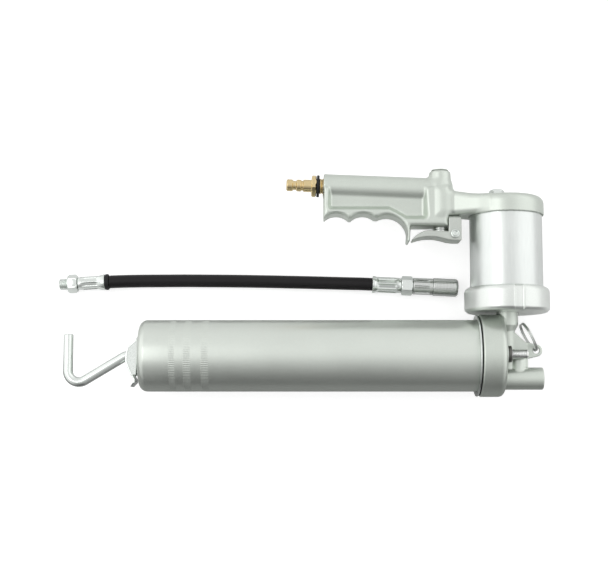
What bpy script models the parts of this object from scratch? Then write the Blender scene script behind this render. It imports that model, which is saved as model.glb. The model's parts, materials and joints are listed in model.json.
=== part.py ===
"""Air-driven grease gun lying on its side, with its delivery hose beside it.

Metres, +Z up, the table is z = 0. +X runs along the grease barrel towards the outlet and +Y from the
barrel towards the grip. Every piece hangs on an empty where the air motor's axis (along Y) crosses the
barrel's axis (along X), so the places below are counted from that point.
"""

import math

import bmesh
import bpy
from mathutils import Matrix, Vector

GAP = 0.0003  # clearance between touching pieces
OUTER_SIDES = 32  # sides of the large outer round pieces
SIDES = 24  # sides of a round piece inside them
SMALL_SIDES = 14  # sides of a small round piece

# ---- driving dimensions -------------------------------------------------------------------------
BARREL_R = 0.0290
BARREL_WALL = 0.0015
BARREL_END = -0.2981  # outside of the drawn end
BARREL_TOP = -0.0095  # open end, inside the pump head
HEAD_R = 0.0333
HEAD_LEFT = -0.0237
HEAD_RIGHT = -0.0040
FLANGE_R = 0.0345
FLANGE_BOTTOM = 0.0349
FLANGE_TOP = 0.0553
CYLINDER_R = 0.0295
CYLINDER_WALL = 0.0030
CAP_R = 0.0310
CAP_BOTTOM = 0.1139
CAP_TOP = 0.1297
VALVE_X = -0.0535
VALVE_TOP = 0.1530
GRIP_LEFT = -0.1493
AIR_Y = 0.1392  # axis of the grip's air passage, at the grip's left end
AIR_SLOPE = math.radians(-2.2)  # the passage falls towards the valve
AIR_TUBE_R = 0.0102
GRIP_HALF = 0.0122  # half the grip's thickness
BLOCK_BOTTOM = 0.1048
BLOCK_RIGHT = -0.0482
PIVOT_X = -0.0425
PIVOT_Y = 0.0985
PIVOT_R = 0.0017
OUTLET_Y = -0.0185
OUTLET_R = 0.0090
OUTLET_END = 0.0279
ROD_R = 0.0040
HOOK_X = -0.3562  # axis of the hook's upright end
HOOK_TOP = 0.0174
PLUNGER_R = 0.0040
PISTON_BOTTOM = 0.1050
PISTON_TOP = 0.1130
THREAD_R = 0.0050  # M10 x 1 outlet thread
BLEED_Y = 0.0005
BLEED_Z = 0.0137
FOLLOWER_RIM = -0.0375  # the follower plate's front face
LOCK_X = BARREL_END - 0.0012  # the lock plate's upper end, where it leans on the barrel
LOCK_Y = 0.0120
LOCK_THICK = 0.0014
PLUG_HEX = 0.0170
LEFT_HEX = 0.0136  # the hose's two hexagons, across flats
RIGHT_HEX = 0.0142
HOSE_R = 0.0054
SLEEVE_R = 0.0075
LEFT_SLOPE = math.radians(3.0)  # how the fittings lie on the table, seen from above
RIGHT_SLOPE = math.radians(-2.5)
HOSE_ROUTE = [  # x, y from the datum and z above the table
    (-0.3280, 0.0634, 0.0068), (-0.3190, 0.0638, 0.0066), (-0.3080, 0.0641, 0.0062),
    (-0.2950, 0.0643, 0.0058), (-0.2800, 0.0644, 0.0055), (-0.2640, 0.0645, 0.0054),
    (-0.2470, 0.0644, 0.0054), (-0.2300, 0.0643, 0.0054), (-0.2130, 0.0641, 0.0054),
    (-0.1960, 0.0638, 0.0055), (-0.1790, 0.0634, 0.0057), (-0.1620, 0.0630, 0.0060),
    (-0.1450, 0.0625, 0.0064), (-0.1290, 0.0620, 0.0069), (-0.1180, 0.0617, 0.0073),
    (-0.1083, 0.0613, 0.0075),
]
RING_HOLE = Vector((0.0229, 0.0042, 0))  # the ear's hole, which the split ring hangs in
RING_R = 0.0122
RING_WIRE = 0.0018
RING_WIDTH = 0.0024  # its two turns side by side
RING_LEAN = math.radians(118)  # the ring leans back against the head's post

CYLINDER_BORE = CYLINDER_R - CYLINDER_WALL
BARREL_BORE = BARREL_R - BARREL_WALL
ORIGIN = Vector((
    -(HOOK_X - ROD_R + FLANGE_R) / 2,
    -(VALVE_TOP - HEAD_R) / 2,
    FLANGE_R,
))

AXIS_TURN = {
    "X": Matrix.Rotation(math.pi / 2, 4, "Y"),
    "Y": Matrix.Rotation(-math.pi / 2, 4, "X"),
    "Z": Matrix.Identity(4),
}


# ---- tools --------------------------------------------------------------------------------------
def clear_scene():
    for item in list(bpy.data.objects):
        bpy.data.objects.remove(item, do_unlink=True)


def material(name, color, roughness, metallic):
    made = bpy.data.materials.new(name)
    made.use_nodes = True
    shader = made.node_tree.nodes["Principled BSDF"]
    shader.inputs["Base Color"].default_value = (*color, 1.0)
    shader.inputs["Roughness"].default_value = roughness
    shader.inputs["Metallic"].default_value = metallic
    return made


FINISHES = {
    "cast": ((0.62, 0.64, 0.61), 0.42, 0.8),
    "lacquer": ((0.60, 0.61, 0.57), 0.38, 0.8),
    "tube": ((0.70, 0.71, 0.69), 0.30, 0.9),
    "brass": ((0.80, 0.58, 0.26), 0.28, 1.0),
    "steel": ((0.55, 0.55, 0.54), 0.32, 1.0),
    "zinc": ((0.72, 0.73, 0.72), 0.30, 1.0),
    "chrome": ((0.80, 0.80, 0.80), 0.12, 1.0),
    "rubber": ((0.02, 0.02, 0.02), 0.60, 0.0),
}


def finish(item, kind, parent):
    """Hang a piece on its parent, give it its own material and shade its round faces smooth."""
    item.parent = parent
    item.data.materials.append(material(item.name, *FINISHES[kind]))
    if item.type == "MESH":
        item.data.shade_smooth()
        item.data.set_sharp_from_angle(angle=math.radians(35))
    return item


def add_object(name, shape, place=(0, 0, 0)):
    """Add a mesh, a curve or, with no shape, an empty."""
    item = bpy.data.objects.new(name, shape)
    bpy.context.scene.collection.objects.link(item)
    item.location = place
    return item


def mesh_object(name, made, place=(0, 0, 0)):
    """Turn a bmesh into an object whose faces point out."""
    bmesh.ops.remove_doubles(made, verts=made.verts, dist=1e-7)
    bmesh.ops.recalc_face_normals(made, faces=made.faces)
    mesh = bpy.data.meshes.new(name)
    made.to_mesh(mesh)
    made.free()
    return add_object(name, mesh, place)


def turned(name, axis, profile, place=(0, 0, 0), sides=SMALL_SIDES, hollow=False):
    """Turn a profile of (radius, distance along the axis) points; a hollow one is a closed loop."""
    made = bmesh.new()
    points = [made.verts.new((radius, 0, along)) for radius, along in profile]
    edges = [made.edges.new(pair) for pair in zip(points, points[1:])]
    if hollow:
        edges.append(made.edges.new((points[-1], points[0])))
    bmesh.ops.spin(
        made, geom=points + edges, cent=(0, 0, 0), axis=(0, 0, 1), steps=sides, angle=math.tau
    )
    bmesh.ops.remove_doubles(made, verts=made.verts, dist=1e-7)
    bmesh.ops.dissolve_degenerate(made, dist=1e-7, edges=made.edges)
    bmesh.ops.transform(made, matrix=AXIS_TURN[axis], verts=made.verts)
    return mesh_object(name, made, place)


def rod(name, axis, radius, start, end, place=(0, 0, 0), sides=SMALL_SIDES):
    """A plain round bar from start to end along its axis."""
    return turned(name, axis, [(0, start), (radius, start), (radius, end), (0, end)], place, sides)


def ring(name, axis, inner, outer, start, end, place=(0, 0, 0), sides=SMALL_SIDES):
    """A plain round ring from start to end along its axis."""
    profile = [(inner, start), (outer, start), (outer, end), (inner, end)]
    return turned(name, axis, profile, place, sides, hollow=True)


def plate(name, outline, low, high, place=(0, 0, 0)):
    """Extrude an outline in the X-Y plane from z = low to z = high."""
    made = bmesh.new()
    face = made.faces.new([made.verts.new((x, y, low)) for x, y in outline])
    raised = bmesh.ops.extrude_face_region(made, geom=[face])["geom"]
    tops = [item for item in raised if isinstance(item, bmesh.types.BMVert)]
    bmesh.ops.translate(made, vec=(0, 0, high - low), verts=tops)
    return mesh_object(name, made, place)


def block(name, low, high, place=(0, 0, 0)):
    outline = [(low[0], low[1]), (high[0], low[1]), (high[0], high[1]), (low[0], high[1])]
    return plate(name, outline, low[2], high[2], place)


def hex_bar(name, axis, across_flats, start, end, bore=0.0, place=(0, 0, 0), turn=0.0):
    """A hexagon bar turned about its axis by an angle in degrees, with a round bore where one is given."""
    corner = across_flats / 2 / math.cos(math.radians(30))
    outline = arc((0, 0), corner, turn, turn + 300, 5)
    item = plate(name, outline, start, end, place)
    item.data.transform(AXIS_TURN[axis])
    if bore:
        cut(item, rod(name + "_bore", axis, bore, start - 0.001, end + 0.001, place))
    return item


def boolean(target, tool, operation):
    """Join or cut with a helper object, which is hidden from renders."""
    tool.hide_render = True
    tool.display_type = "WIRE"
    step = target.modifiers.new(operation.lower(), "BOOLEAN")
    step.operation = operation
    step.object = tool
    step.solver = "EXACT"


def cut(target, *tools):
    for tool in tools:
        boolean(target, tool, "DIFFERENCE")


def join(target, *tools):
    for tool in tools:
        boolean(target, tool, "UNION")


def arc(center, radius, start, end, steps):
    """Points on an arc, from one angle to another in degrees."""
    angles = [math.radians(start + (end - start) * k / steps) for k in range(steps + 1)]
    return [(center[0] + radius * math.cos(a), center[1] + radius * math.sin(a)) for a in angles]


def rounded_path(corners, radius, steps=6):
    """A line of points through 3-D corners, each inner corner rounded by an arc."""
    path = [corners[0]]
    for before, corner, after in zip(corners, corners[1:], corners[2:]):
        inward = (before - corner).normalized()
        outward = (after - corner).normalized()
        half = inward.angle(outward) / 2
        reach = radius / math.tan(half)
        middle = corner + (inward + outward).normalized() * (radius / math.sin(half))
        first = corner + inward * reach - middle
        last = corner + outward * reach - middle
        swing = first.angle(last)
        for k in range(steps + 1):
            share = k / steps
            path.append(
                middle
                + first * (math.sin((1 - share) * swing) / math.sin(swing))
                + last * (math.sin(share * swing) / math.sin(swing))
            )
    return path + [corners[-1]]


def smooth_line(route, count):
    """Points evenly counted along a Catmull-Rom curve through the route's points."""
    ends = [2 * route[0] - route[1], *route, 2 * route[-1] - route[-2]]
    line = []
    for k in range(count):
        at = k / (count - 1) * (len(route) - 1)
        span = min(int(at), len(route) - 2)
        t = at - span
        p0, p1, p2, p3 = ends[span:span + 4]
        line.append(
            0.5 * (2 * p1 + (p2 - p0) * t + (2 * p0 - 5 * p1 + 4 * p2 - p3) * t**2
                   + (3 * p1 - p0 - 3 * p2 + p3) * t**3)
        )
    return line


def tube_along(name, points, radius, sides_level=2):
    """A round bar bent along a line of points."""
    curve = bpy.data.curves.new(name, "CURVE")
    curve.dimensions = "3D"
    curve.bevel_depth = radius
    curve.bevel_resolution = sides_level
    curve.use_fill_caps = True
    spline = curve.splines.new("POLY")
    spline.points.add(len(points) - 1)
    for knot, point in zip(spline.points, points):
        knot.co = (*point, 1.0)
    return add_object(name, curve)


def coil(name, axis, radius, wire, start, end, turns, steps=10, place=(0, 0, 0)):
    """A compression spring: its wire's middle runs from start to end along the axis."""
    count = turns * steps
    points = []
    for k in range(count + 1):
        angle = math.tau * k / steps
        along = start + (end - start) * k / count
        points.append(
            AXIS_TURN[axis] @ Vector((radius * math.cos(angle), radius * math.sin(angle), along))
        )
    item = tube_along(name, points, wire, sides_level=0 if wire < 0.001 else 1)
    item.location = place
    return item


# ---- air motor: cylinder, base, piston and plunger along Y ---------------------------------------
def cylinder_base(gun):
    wall_in = CYLINDER_BORE - GAP
    wall_out = CYLINDER_R + GAP
    floor = 0.0480
    profile = [
        (0.0043, 0.0425), (0.0090, 0.0425), (0.0090, FLANGE_BOTTOM), (FLANGE_R - 0.0016, FLANGE_BOTTOM),
        (FLANGE_R, FLANGE_BOTTOM + 0.0022), (FLANGE_R, FLANGE_TOP - 0.0030),
        (FLANGE_R - 0.0010, FLANGE_TOP - 0.0009), (FLANGE_R - 0.0030, FLANGE_TOP),
        (wall_out, FLANGE_TOP), (wall_out, 0.0510), (wall_in, 0.0510), (wall_in, 0.0530),
        (0.0240, 0.0530), (0.0240, floor), (0.0072, floor), (0.0072, 0.0450), (0.0043, 0.0450),
    ]
    item = turned("cylinder_base", "Y", profile, sides=OUTER_SIDES, hollow=True)
    groove = rod("base_groove", "Y", 0.0030, 0.0300, 0.0600, place=(0.0055, 0, 0.0360), sides=12)
    cut(item, groove)
    finish(item, "cast", gun)
    finish(ring("rod_seal", "Y", 0.0043, 0.0069, 0.0453, 0.0476), "rubber", gun)


def motor_cylinder(gun):
    top = CAP_BOTTOM + 0.0030
    wall = ring("motor_cylinder", "Y", CYLINDER_BORE, CYLINDER_R, 0.0530, top, sides=OUTER_SIDES)
    finish(wall, "tube", gun)
    inner, outer = CYLINDER_BORE + 0.0003, CYLINDER_R - 0.0003
    finish(ring("base_gasket", "Y", inner, outer, 0.0513, 0.0527, sides=SIDES), "rubber", gun)
    finish(ring("cap_gasket", "Y", inner, outer, top + GAP, top + 0.0017, sides=SIDES), "rubber", gun)


def air_piston(gun):
    outer = CYLINDER_BORE - 0.0004
    slot = outer - 0.0028
    profile = [
        (0.0032, PISTON_BOTTOM), (outer, PISTON_BOTTOM), (outer, PISTON_BOTTOM + 0.0020),
        (slot, PISTON_BOTTOM + 0.0020), (slot, PISTON_TOP - 0.0022), (outer, PISTON_TOP - 0.0022),
        (outer, PISTON_TOP), (0.0032, PISTON_TOP),
    ]
    finish(turned("air_piston", "Y", profile, sides=SIDES, hollow=True), "cast", gun)
    seal_low, seal_high = PISTON_BOTTOM + 0.0023, PISTON_TOP - 0.0025
    seal = ring("piston_seal", "Y", slot + 0.0004, CYLINDER_BORE - 0.0003, seal_low, seal_high, sides=SIDES)
    finish(seal, "rubber", gun)
    shaft = [
        (0, 0.0240), (PLUNGER_R, 0.0240), (PLUNGER_R, PISTON_BOTTOM - GAP),
        (0.0028, PISTON_BOTTOM - GAP), (0.0028, PISTON_TOP + 0.0070), (0, PISTON_TOP + 0.0070),
    ]
    finish(turned("plunger", "Y", shaft), "steel", gun)
    nut = hex_bar("piston_nut", "Y", 0.0100, PISTON_TOP + GAP, PISTON_TOP + 0.0050, bore=0.0031)
    finish(nut, "steel", gun)
    spring = coil("return_spring", "Y", 0.0150, 0.0012, 0.0496, PISTON_BOTTOM - 0.0016, turns=6)
    finish(spring, "steel", gun)


# ---- grip casting: cap, neck, valve block, grip and finger guard in one piece --------------------
def grip_outline():
    """The grip's side outline, from the block round the finger grooves to its left end."""
    edge = [(BLOCK_RIGHT, 0.1330), (BLOCK_RIGHT, BLOCK_BOTTOM), (-0.0785, BLOCK_BOTTOM)]
    edge += [(-0.0793, 0.0925), (-0.0805, 0.0915), (-0.0817, 0.0925)]
    edge += arc((-0.0975, 0.0970), 0.0165, 8, 118, 8)
    edge += arc((-0.1171, 0.1010), 0.0140, 50, 136, 6)
    edge += arc((-0.1389, 0.1010), 0.0140, 44, 136, 6)
    edge += [(GRIP_LEFT, 0.1120), (GRIP_LEFT, 0.1330)]
    return edge


def along_air_line(*items):
    """Turn pieces that were built along X from the grip's left end into the line of the air passage."""
    for item in items:
        item.location = (GRIP_LEFT, AIR_Y, 0)
        item.rotation_euler = (0, 0, AIR_SLOPE)


def grip_casting(gun):
    body = plate("grip_casting", grip_outline(), -GRIP_HALF, GRIP_HALF)
    tube_length = VALVE_X - GRIP_LEFT
    tube = rod("air_tube", "X", AIR_TUBE_R, 0, tube_length, sides=24)
    top = block("grip_top", (0.0006, -0.0060, -0.0088), (0.0833, 0.0078, 0.0088))
    along_air_line(tube, top)
    tube.rotation_euler.x = math.radians(3)
    boss = turned(
        "valve_boss", "Y",
        [(0, 0.1136), (0.0105, 0.1136), (0.0105, 0.1400), (0.0088, 0.1450), (0.0088, 0.1500),
         (0.0072, 0.1518), (0, 0.1518)],
        place=(VALVE_X, 0, 0), sides=24,
    )
    boss.rotation_euler.y = math.radians(4)
    neck_outline = [
        (-0.0560, 0.1135), (-0.0300, 0.1135), (-0.0050, 0.1150), (-0.0050, 0.1285), (-0.0300, 0.1310),
        (-0.0400, 0.1335), (-0.0450, 0.1385), (-0.0560, 0.1420),
    ]
    neck = plate("neck", neck_outline, -0.0120, 0.0120)
    flare_outline = [(-0.0530, -0.0115), (-0.0150, -0.0270), (0, -0.0280), (0, 0.0280), (-0.0150, 0.0270),
                     (-0.0530, 0.0115)]
    flare = plate("flare", flare_outline, -0.1270, -0.1136)
    flare.rotation_euler = (math.pi / 2, 0, 0)
    cap = turned(
        "cap", "Y",
        [(0, CAP_BOTTOM), (CAP_R, CAP_BOTTOM), (CAP_R, CAP_TOP - 0.0065),
         (CAP_R - 0.0019, CAP_TOP - 0.0019), (CAP_R - 0.0065, CAP_TOP), (0, CAP_TOP)],
        sides=OUTER_SIDES,
    )
    web_foot = PIVOT_Y - 0.0027
    web_outline = [
        (BLOCK_RIGHT - 0.0010, 0.1145), (BLOCK_RIGHT - 0.0010, BLOCK_BOTTOM + 0.0010),
        (-0.0466, BLOCK_BOTTOM + 0.0010), (-0.0466, web_foot), (-0.0377, web_foot), (-0.0377, 0.1145),
    ]
    web = plate("pivot_web", web_outline, -0.0064, 0.0064)
    join(body, boss, neck, flare, cap, web, tube, top)
    for side in (-1, 1):
        low, high = sorted((side * 0.0074, side * 0.0140))
        pocket = [
            (-0.1440, 0.1225), (-0.0950, 0.1225), (-0.0880, 0.1190), (-0.0810, 0.1150), (-0.0670, 0.1150),
            (-0.0670, 0.1290), (-0.1440, 0.1320),
        ]
        cut(body, plate("pocket", pocket, low, high))
    cavity = [
        (0, 0.1100), (CYLINDER_BORE - 0.0007, 0.1100), (CYLINDER_BORE - 0.0007, 0.1240), (0, 0.1240),
    ]
    cut(body, turned("motor_cavity", "Y", cavity, sides=SIDES))
    groove_top = CAP_BOTTOM + 0.0050
    groove_in, groove_out = CYLINDER_BORE - GAP, CYLINDER_R + GAP
    cut(body, ring("tube_groove", "Y", groove_in, groove_out, 0.1120, groove_top, sides=OUTER_SIDES))
    valve = [
        (0, 0.0900), (0.0055, 0.0900), (0.0055, 0.1170), (0.0030, 0.1170), (0.0030, 0.1250),
        (0.0053, 0.1250), (0.0053, 0.1600), (0, 0.1600),
    ]
    cut(body, turned("valve_bore", "Y", valve, place=(VALVE_X, 0, 0)))
    air_bore = rod("air_bore", "X", 0.0066, -0.0020, 0.0113)
    air_passage = rod("air_passage", "X", 0.0045, 0.0103, tube_length, sides=12)
    along_air_line(air_bore, air_passage)
    cut(body, air_bore, air_passage)
    cut(body, rod("motor_passage", "X", 0.0020, VALVE_X, -0.0200, place=(0, 0.1212, 0), sides=12))
    cut(body, rod("oiler_bore", "Y", 0.0037, 0.1220, 0.1400, place=(-0.0069, 0, 0), sides=12))
    cut(body, rod("pivot_bore", "Z", PIVOT_R + GAP, -0.010, 0.010, place=(PIVOT_X, PIVOT_Y, 0), sides=16))
    finish(body, "cast", gun)


def oiler_plug(gun):
    head = hex_bar("oiler_plug", "Y", 0.0110, CAP_TOP + GAP, CAP_TOP + 0.0070, place=(-0.0069, 0, 0))
    shank = rod("shank", "Y", 0.0034, 0.1255, CAP_TOP + 0.0010, place=(-0.0069, 0, 0), sides=12)
    join(head, shank)
    finish(head, "zinc", gun)


def air_plug(gun):
    """The brass quick-connect plug that the air hose clips on to."""
    tip, hex_left, hex_right, inner_end = -0.0304, -0.0098, -0.0058, 0.0101
    bore = 0.0030
    profile = [
        (bore, tip), (0.0042, tip), (0.0049, tip + 0.0008), (0.0049, tip + 0.0048), (0.0038, tip + 0.0058),
        (0.0038, tip + 0.0078), (0.0049, tip + 0.0088), (0.0049, tip + 0.0118), (0.0041, tip + 0.0124),
        (0.0041, tip + 0.0136), (0.0051, tip + 0.0142), (0.0051, hex_left), (0.0060, hex_left),
        (0.0060, hex_right), (0.0063, hex_right), (0.0063, inner_end), (bore, inner_end),
    ]
    item = turned("air_plug", "X", profile, hollow=True)
    nut = hex_bar("plug_hex", "X", PLUG_HEX, hex_left, hex_right, bore=0.0055, turn=15)
    washer = ring("plug_seal", "X", 0.0066, 0.0090, hex_right + GAP, hex_right + 0.0025)
    along_air_line(item, nut, washer)
    join(item, nut)
    finish(item, "brass", gun)
    finish(washer, "rubber", gun)


# ---- start valve and trigger ---------------------------------------------------------------------
def start_valve(gun):
    at = (VALVE_X, 0, 0)
    bush = [
        (0.0025, 0.1006), (0.0064, 0.1006), (0.0064, BLOCK_BOTTOM - GAP), (0.0051, BLOCK_BOTTOM - GAP),
        (0.0051, 0.1160), (0.0025, 0.1160),
    ]
    finish(turned("valve_bush", "Y", bush, at, sides=16, hollow=True), "steel", gun)
    stem = [
        (0, 0.0975), (0.0021, 0.0975), (0.0021, 0.1272), (0.0040, 0.1272), (0.0040, 0.1292),
        (0.0020, 0.1292), (0.0020, 0.1330), (0, 0.1330),
    ]
    finish(turned("valve_stem", "Y", stem, at, sides=16), "steel", gun)
    finish(ring("valve_disc", "Y", 0.0024, 0.0046, 0.1253, 0.1269, at, sides=16), "rubber", gun)
    spring = coil("valve_spring", "Y", 0.0032, 0.0005, 0.1301, 0.1440, turns=6, steps=8, place=at)
    finish(spring, "steel", gun)
    cap = [
        (0, 0.1448), (0.0049, 0.1448), (0.0049, 0.1521), (0.0069, 0.1521), (0.0069, 0.1526),
        (0.0064, VALVE_TOP), (0, VALVE_TOP),
    ]
    finish(turned("valve_cap", "Y", cap, at, sides=24), "cast", gun)


def trigger_side():
    """The trigger's side outline, counted from its pivot."""
    outline = [(-0.0053, 0.0139), (0.0053, 0.0139), (0.0053, -0.0048), (0.0040, -0.0056)]
    outline += [(-0.0050, -0.0053), (-0.0110, -0.0036), (-0.0185, -0.0025), (-0.0260, -0.0028)]
    outline += [(-0.0345, -0.0052), (-0.0345, -0.0040), (-0.0290, 0.0006), (-0.0250, 0.0026)]
    outline += [(-0.0180, 0.0029), (-0.0053, 0.0022)]
    return outline


def trigger(gun):
    pivot = (PIVOT_X, PIVOT_Y, 0)
    item = plate("trigger", trigger_side(), -0.0100, 0.0100, pivot)
    inner = [
        (-0.0300, 0.0200), (-0.0300, -0.0010), (-0.0185, -0.0008), (-0.0085, -0.0014), (-0.0062, -0.0040),
        (0.0080, -0.0040), (0.0080, 0.0200),
    ]
    cut(item, plate("channel", inner, -0.0068, 0.0068, pivot))
    cut(item, rod("trigger_hole", "Z", PIVOT_R + GAP, -0.012, 0.012, pivot, sides=16))
    finish(item, "cast", gun)
    screw = [
        (0, -0.0130), (PIVOT_R, -0.0130), (PIVOT_R, 0.0103), (0.0037, 0.0103), (0.0037, 0.0116),
        (0.0030, 0.0122), (0, 0.0122),
    ]
    head = turned("trigger_screw", "Z", screw, pivot, sides=24)
    slot = block("slot", (-0.0060, -0.0005, 0.0114), (0.0060, 0.0005, 0.0140), pivot)
    slot.rotation_euler = (0, 0, math.radians(70))
    cut(head, slot)
    finish(head, "zinc", gun)
    nut = hex_bar("trigger_nut", "Z", 0.0070, -0.0128, -0.0103, bore=PIVOT_R + GAP, place=pivot)
    finish(nut, "zinc", gun)


# ---- pump head ------------------------------------------------------------------------------------
def pump_head(gun):
    socket = BARREL_R + 0.0003
    profile = [
        (0, BARREL_TOP + GAP), (socket, BARREL_TOP + GAP), (socket, HEAD_LEFT), (HEAD_R - 0.0008, HEAD_LEFT),
        (HEAD_R, HEAD_LEFT + 0.0010), (HEAD_R, HEAD_RIGHT - 0.0040), (HEAD_R - 0.0012, HEAD_RIGHT - 0.0012),
        (HEAD_R - 0.0040, HEAD_RIGHT), (0, HEAD_RIGHT),
    ]
    body = turned("pump_head", "X", profile, sides=OUTER_SIDES)
    boss_profile = [
        (0, OUTLET_Y), (0.0064, OUTLET_Y), (0.0064, 0.0200), (0.0087, 0.0245), (0.0087, 0.0422), (0, 0.0422),
    ]
    boss = turned("pump_boss", "Y", boss_profile, sides=SIDES)
    outlet = rod("outlet", "X", OUTLET_R, -0.0060, OUTLET_END, place=(0, OUTLET_Y, 0), sides=24)
    stub = rod("stub", "Y", 0.0072, -0.0180, -0.0030, place=(0.0078, 0, 0), sides=20)
    web = [(0, -0.0100), (0.0155, -0.0100), (0.0160, 0.0090), (0.0043, 0.0195), (0, 0.0195)]
    ear = [(0, 0.0140), (0, -0.0024), (0.0170, -0.0024), *arc(RING_HOLE, 0.0050, -84, 66, 6), (0.0120, 0.0118)]
    bleed_boss = rod("bleed_boss", "X", 0.0074, HEAD_RIGHT - 0.001, -0.0021, place=(0, BLEED_Y, BLEED_Z))
    join(body, boss, outlet, stub, plate("web", web, -0.0050, 0.0050), plate("ear", ear, -0.0014, 0.0014))
    join(body, bleed_boss)
    pump_bore = [
        (0, -0.0170), (0.0043, -0.0170), (0.0043, 0.0255), (0.0065, 0.0255), (0.0065, 0.0450), (0, 0.0450),
    ]
    cut(body, turned("pump_bore", "Y", pump_bore))
    outlet_bore = [
        (0, -0.0030), (0.0026, -0.0030), (0.0026, 0.0060), (THREAD_R + 0.0001, 0.0060),
        (THREAD_R + 0.0001, OUTLET_END + 0.001), (0, OUTLET_END + 0.001),
    ]
    cut(body, turned("outlet_bore", "X", outlet_bore, place=(0, OUTLET_Y, 0)))
    cut(body, rod("inlet_port", "X", 0.0040, -0.0120, 0, place=(0, 0.0030, 0), sides=12))
    cut(body, rod("ring_hole", "Z", 0.0026, -0.004, 0.004, place=RING_HOLE, sides=16))
    cut(body, rod("bleed_bore", "X", 0.0024, -0.0100, 0.0010, place=(0, BLEED_Y, BLEED_Z), sides=16))
    finish(body, "cast", gun)

    finish(ring("pump_bush", "Y", 0.0042, 0.0062, 0.0258, 0.0330), "steel", gun)
    finish(ring("plunger_packing", "Y", 0.0042, 0.0062, 0.0333, 0.0405), "rubber", gun)


def check_valve(gun):
    ball = bmesh.new()
    bmesh.ops.create_uvsphere(ball, u_segments=16, v_segments=8, radius=0.0032)
    finish(mesh_object("check_ball", ball, (0.0084, OUTLET_Y, 0)), "steel", gun)
    at = (0, OUTLET_Y, 0)
    spring = coil("check_spring", "X", 0.0032, 0.0004, 0.0110, 0.0152, turns=3, steps=8, place=at)
    finish(spring, "steel", gun)
    retainer = ring("check_retainer", "X", 0.0020, THREAD_R - 0.0003, 0.0159, 0.0180, place=at)
    finish(retainer, "steel", gun)


def bleed_screw(gun):
    at = (0, BLEED_Y, BLEED_Z)
    finish(ring("bleed_washer", "X", 0.0027, 0.0067, -0.0018, 0.0006, at), "steel", gun)
    screw = [
        (0, -0.0095), (0.0021, -0.0095), (0.0021, 0.0009), (0.0042, 0.0009), (0.0042, 0.0130),
        (0.0036, 0.0138), (0, 0.0138),
    ]
    finish(turned("bleed_screw", "X", screw, at), "chrome", gun)


def split_ring(gun):
    """Two touching turns of wire seen as one band, standing out of the ear's hole."""
    inner, outer = RING_R - RING_WIRE / 2, RING_R + RING_WIRE / 2
    item = ring("split_ring", "Z", inner, outer, -RING_WIDTH / 2, RING_WIDTH / 2, sides=28)
    item.data.transform(Matrix.Translation((RING_R, 0, 0)))
    item.data.transform(Matrix.Rotation(math.pi / 2, 4, "X"))
    item.data.transform(Matrix.Rotation(RING_LEAN, 4, "Z"))
    item.location = RING_HOLE
    finish(item, "steel", gun)


# ---- grease barrel --------------------------------------------------------------------------------
def grease_barrel(gun):
    fillet = 0.0065
    outer_fillet = arc((BARREL_END + fillet, BARREL_R - fillet), fillet, 90, 180, 3)
    inner_fillet = arc((BARREL_END + fillet, BARREL_R - fillet), fillet - BARREL_WALL, 180, 90, 3)
    shell = [(BARREL_R, BARREL_TOP)] + [(r, x) for x, r in outer_fillet] + [(0.0063, BARREL_END)]
    shell += [(0.0063, BARREL_END + BARREL_WALL)] + [(r, x) for x, r in inner_fillet]
    shell += [(BARREL_BORE, BARREL_TOP)]
    finish(turned("barrel_tube", "X", shell, sides=OUTER_SIDES, hollow=True), "lacquer", gun)
    collar = ring("barrel_collar", "X", BARREL_R + GAP, 0.0330, -0.0261, -0.0249, sides=OUTER_SIDES)
    finish(collar, "zinc", gun)
    finish(ring("barrel_gasket", "X", BARREL_R + GAP, 0.0322, -0.0246, -0.0240, sides=SIDES), "rubber", gun)
    flange_x = BARREL_END + BARREL_WALL + GAP
    bush = [
        (0.0043, BARREL_END - 0.0022), (0.0060, BARREL_END - 0.0022), (0.0060, flange_x), (0.0090, flange_x),
        (0.0090, flange_x + 0.0015), (0.0043, flange_x + 0.0015),
    ]
    finish(turned("rod_bush", "X", bush, hollow=True), "steel", gun)


def rod_lock_plate(gun):
    """A bowed catch with folded sides: pressing its flared end tilts its hole on the rod and frees it."""
    middle = [
        (LOCK_X, 0.0146), (LOCK_X - 0.0006, LOCK_Y), (-0.3070, 0.0060), (-0.3082, -0.0050),
        (-0.3015, -0.0190), (-0.3012, -0.0215), (-0.3042, -0.0252),
    ]
    left = [(x - LOCK_THICK / 2 - LOCK_X, y - LOCK_Y) for x, y in middle]
    right = [(x + LOCK_THICK / 2 - LOCK_X, y - LOCK_Y) for x, y in reversed(middle)]
    at = (LOCK_X, LOCK_Y, 0)
    item = plate("rod_lock_plate", left + right, -0.0100, 0.0100, at)
    flange = [
        (LOCK_X - 0.0008, LOCK_Y), (-0.3070, 0.0060), (-0.3082, -0.0050), (-0.3046, -0.0160),
        (BARREL_END - 0.0019, -0.0160), (BARREL_END - 0.0008, 0.0110),
    ]
    for low, high in ((-0.0100, -0.0088), (0.0088, 0.0100)):
        join(item, plate("lock_flange", flange, low, high))
    cut(item, rod("lock_hole", "X", 0.0052, -0.012, 0.0008, place=(LOCK_X, 0, 0), sides=24))
    finish(item, "zinc", gun)


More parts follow.
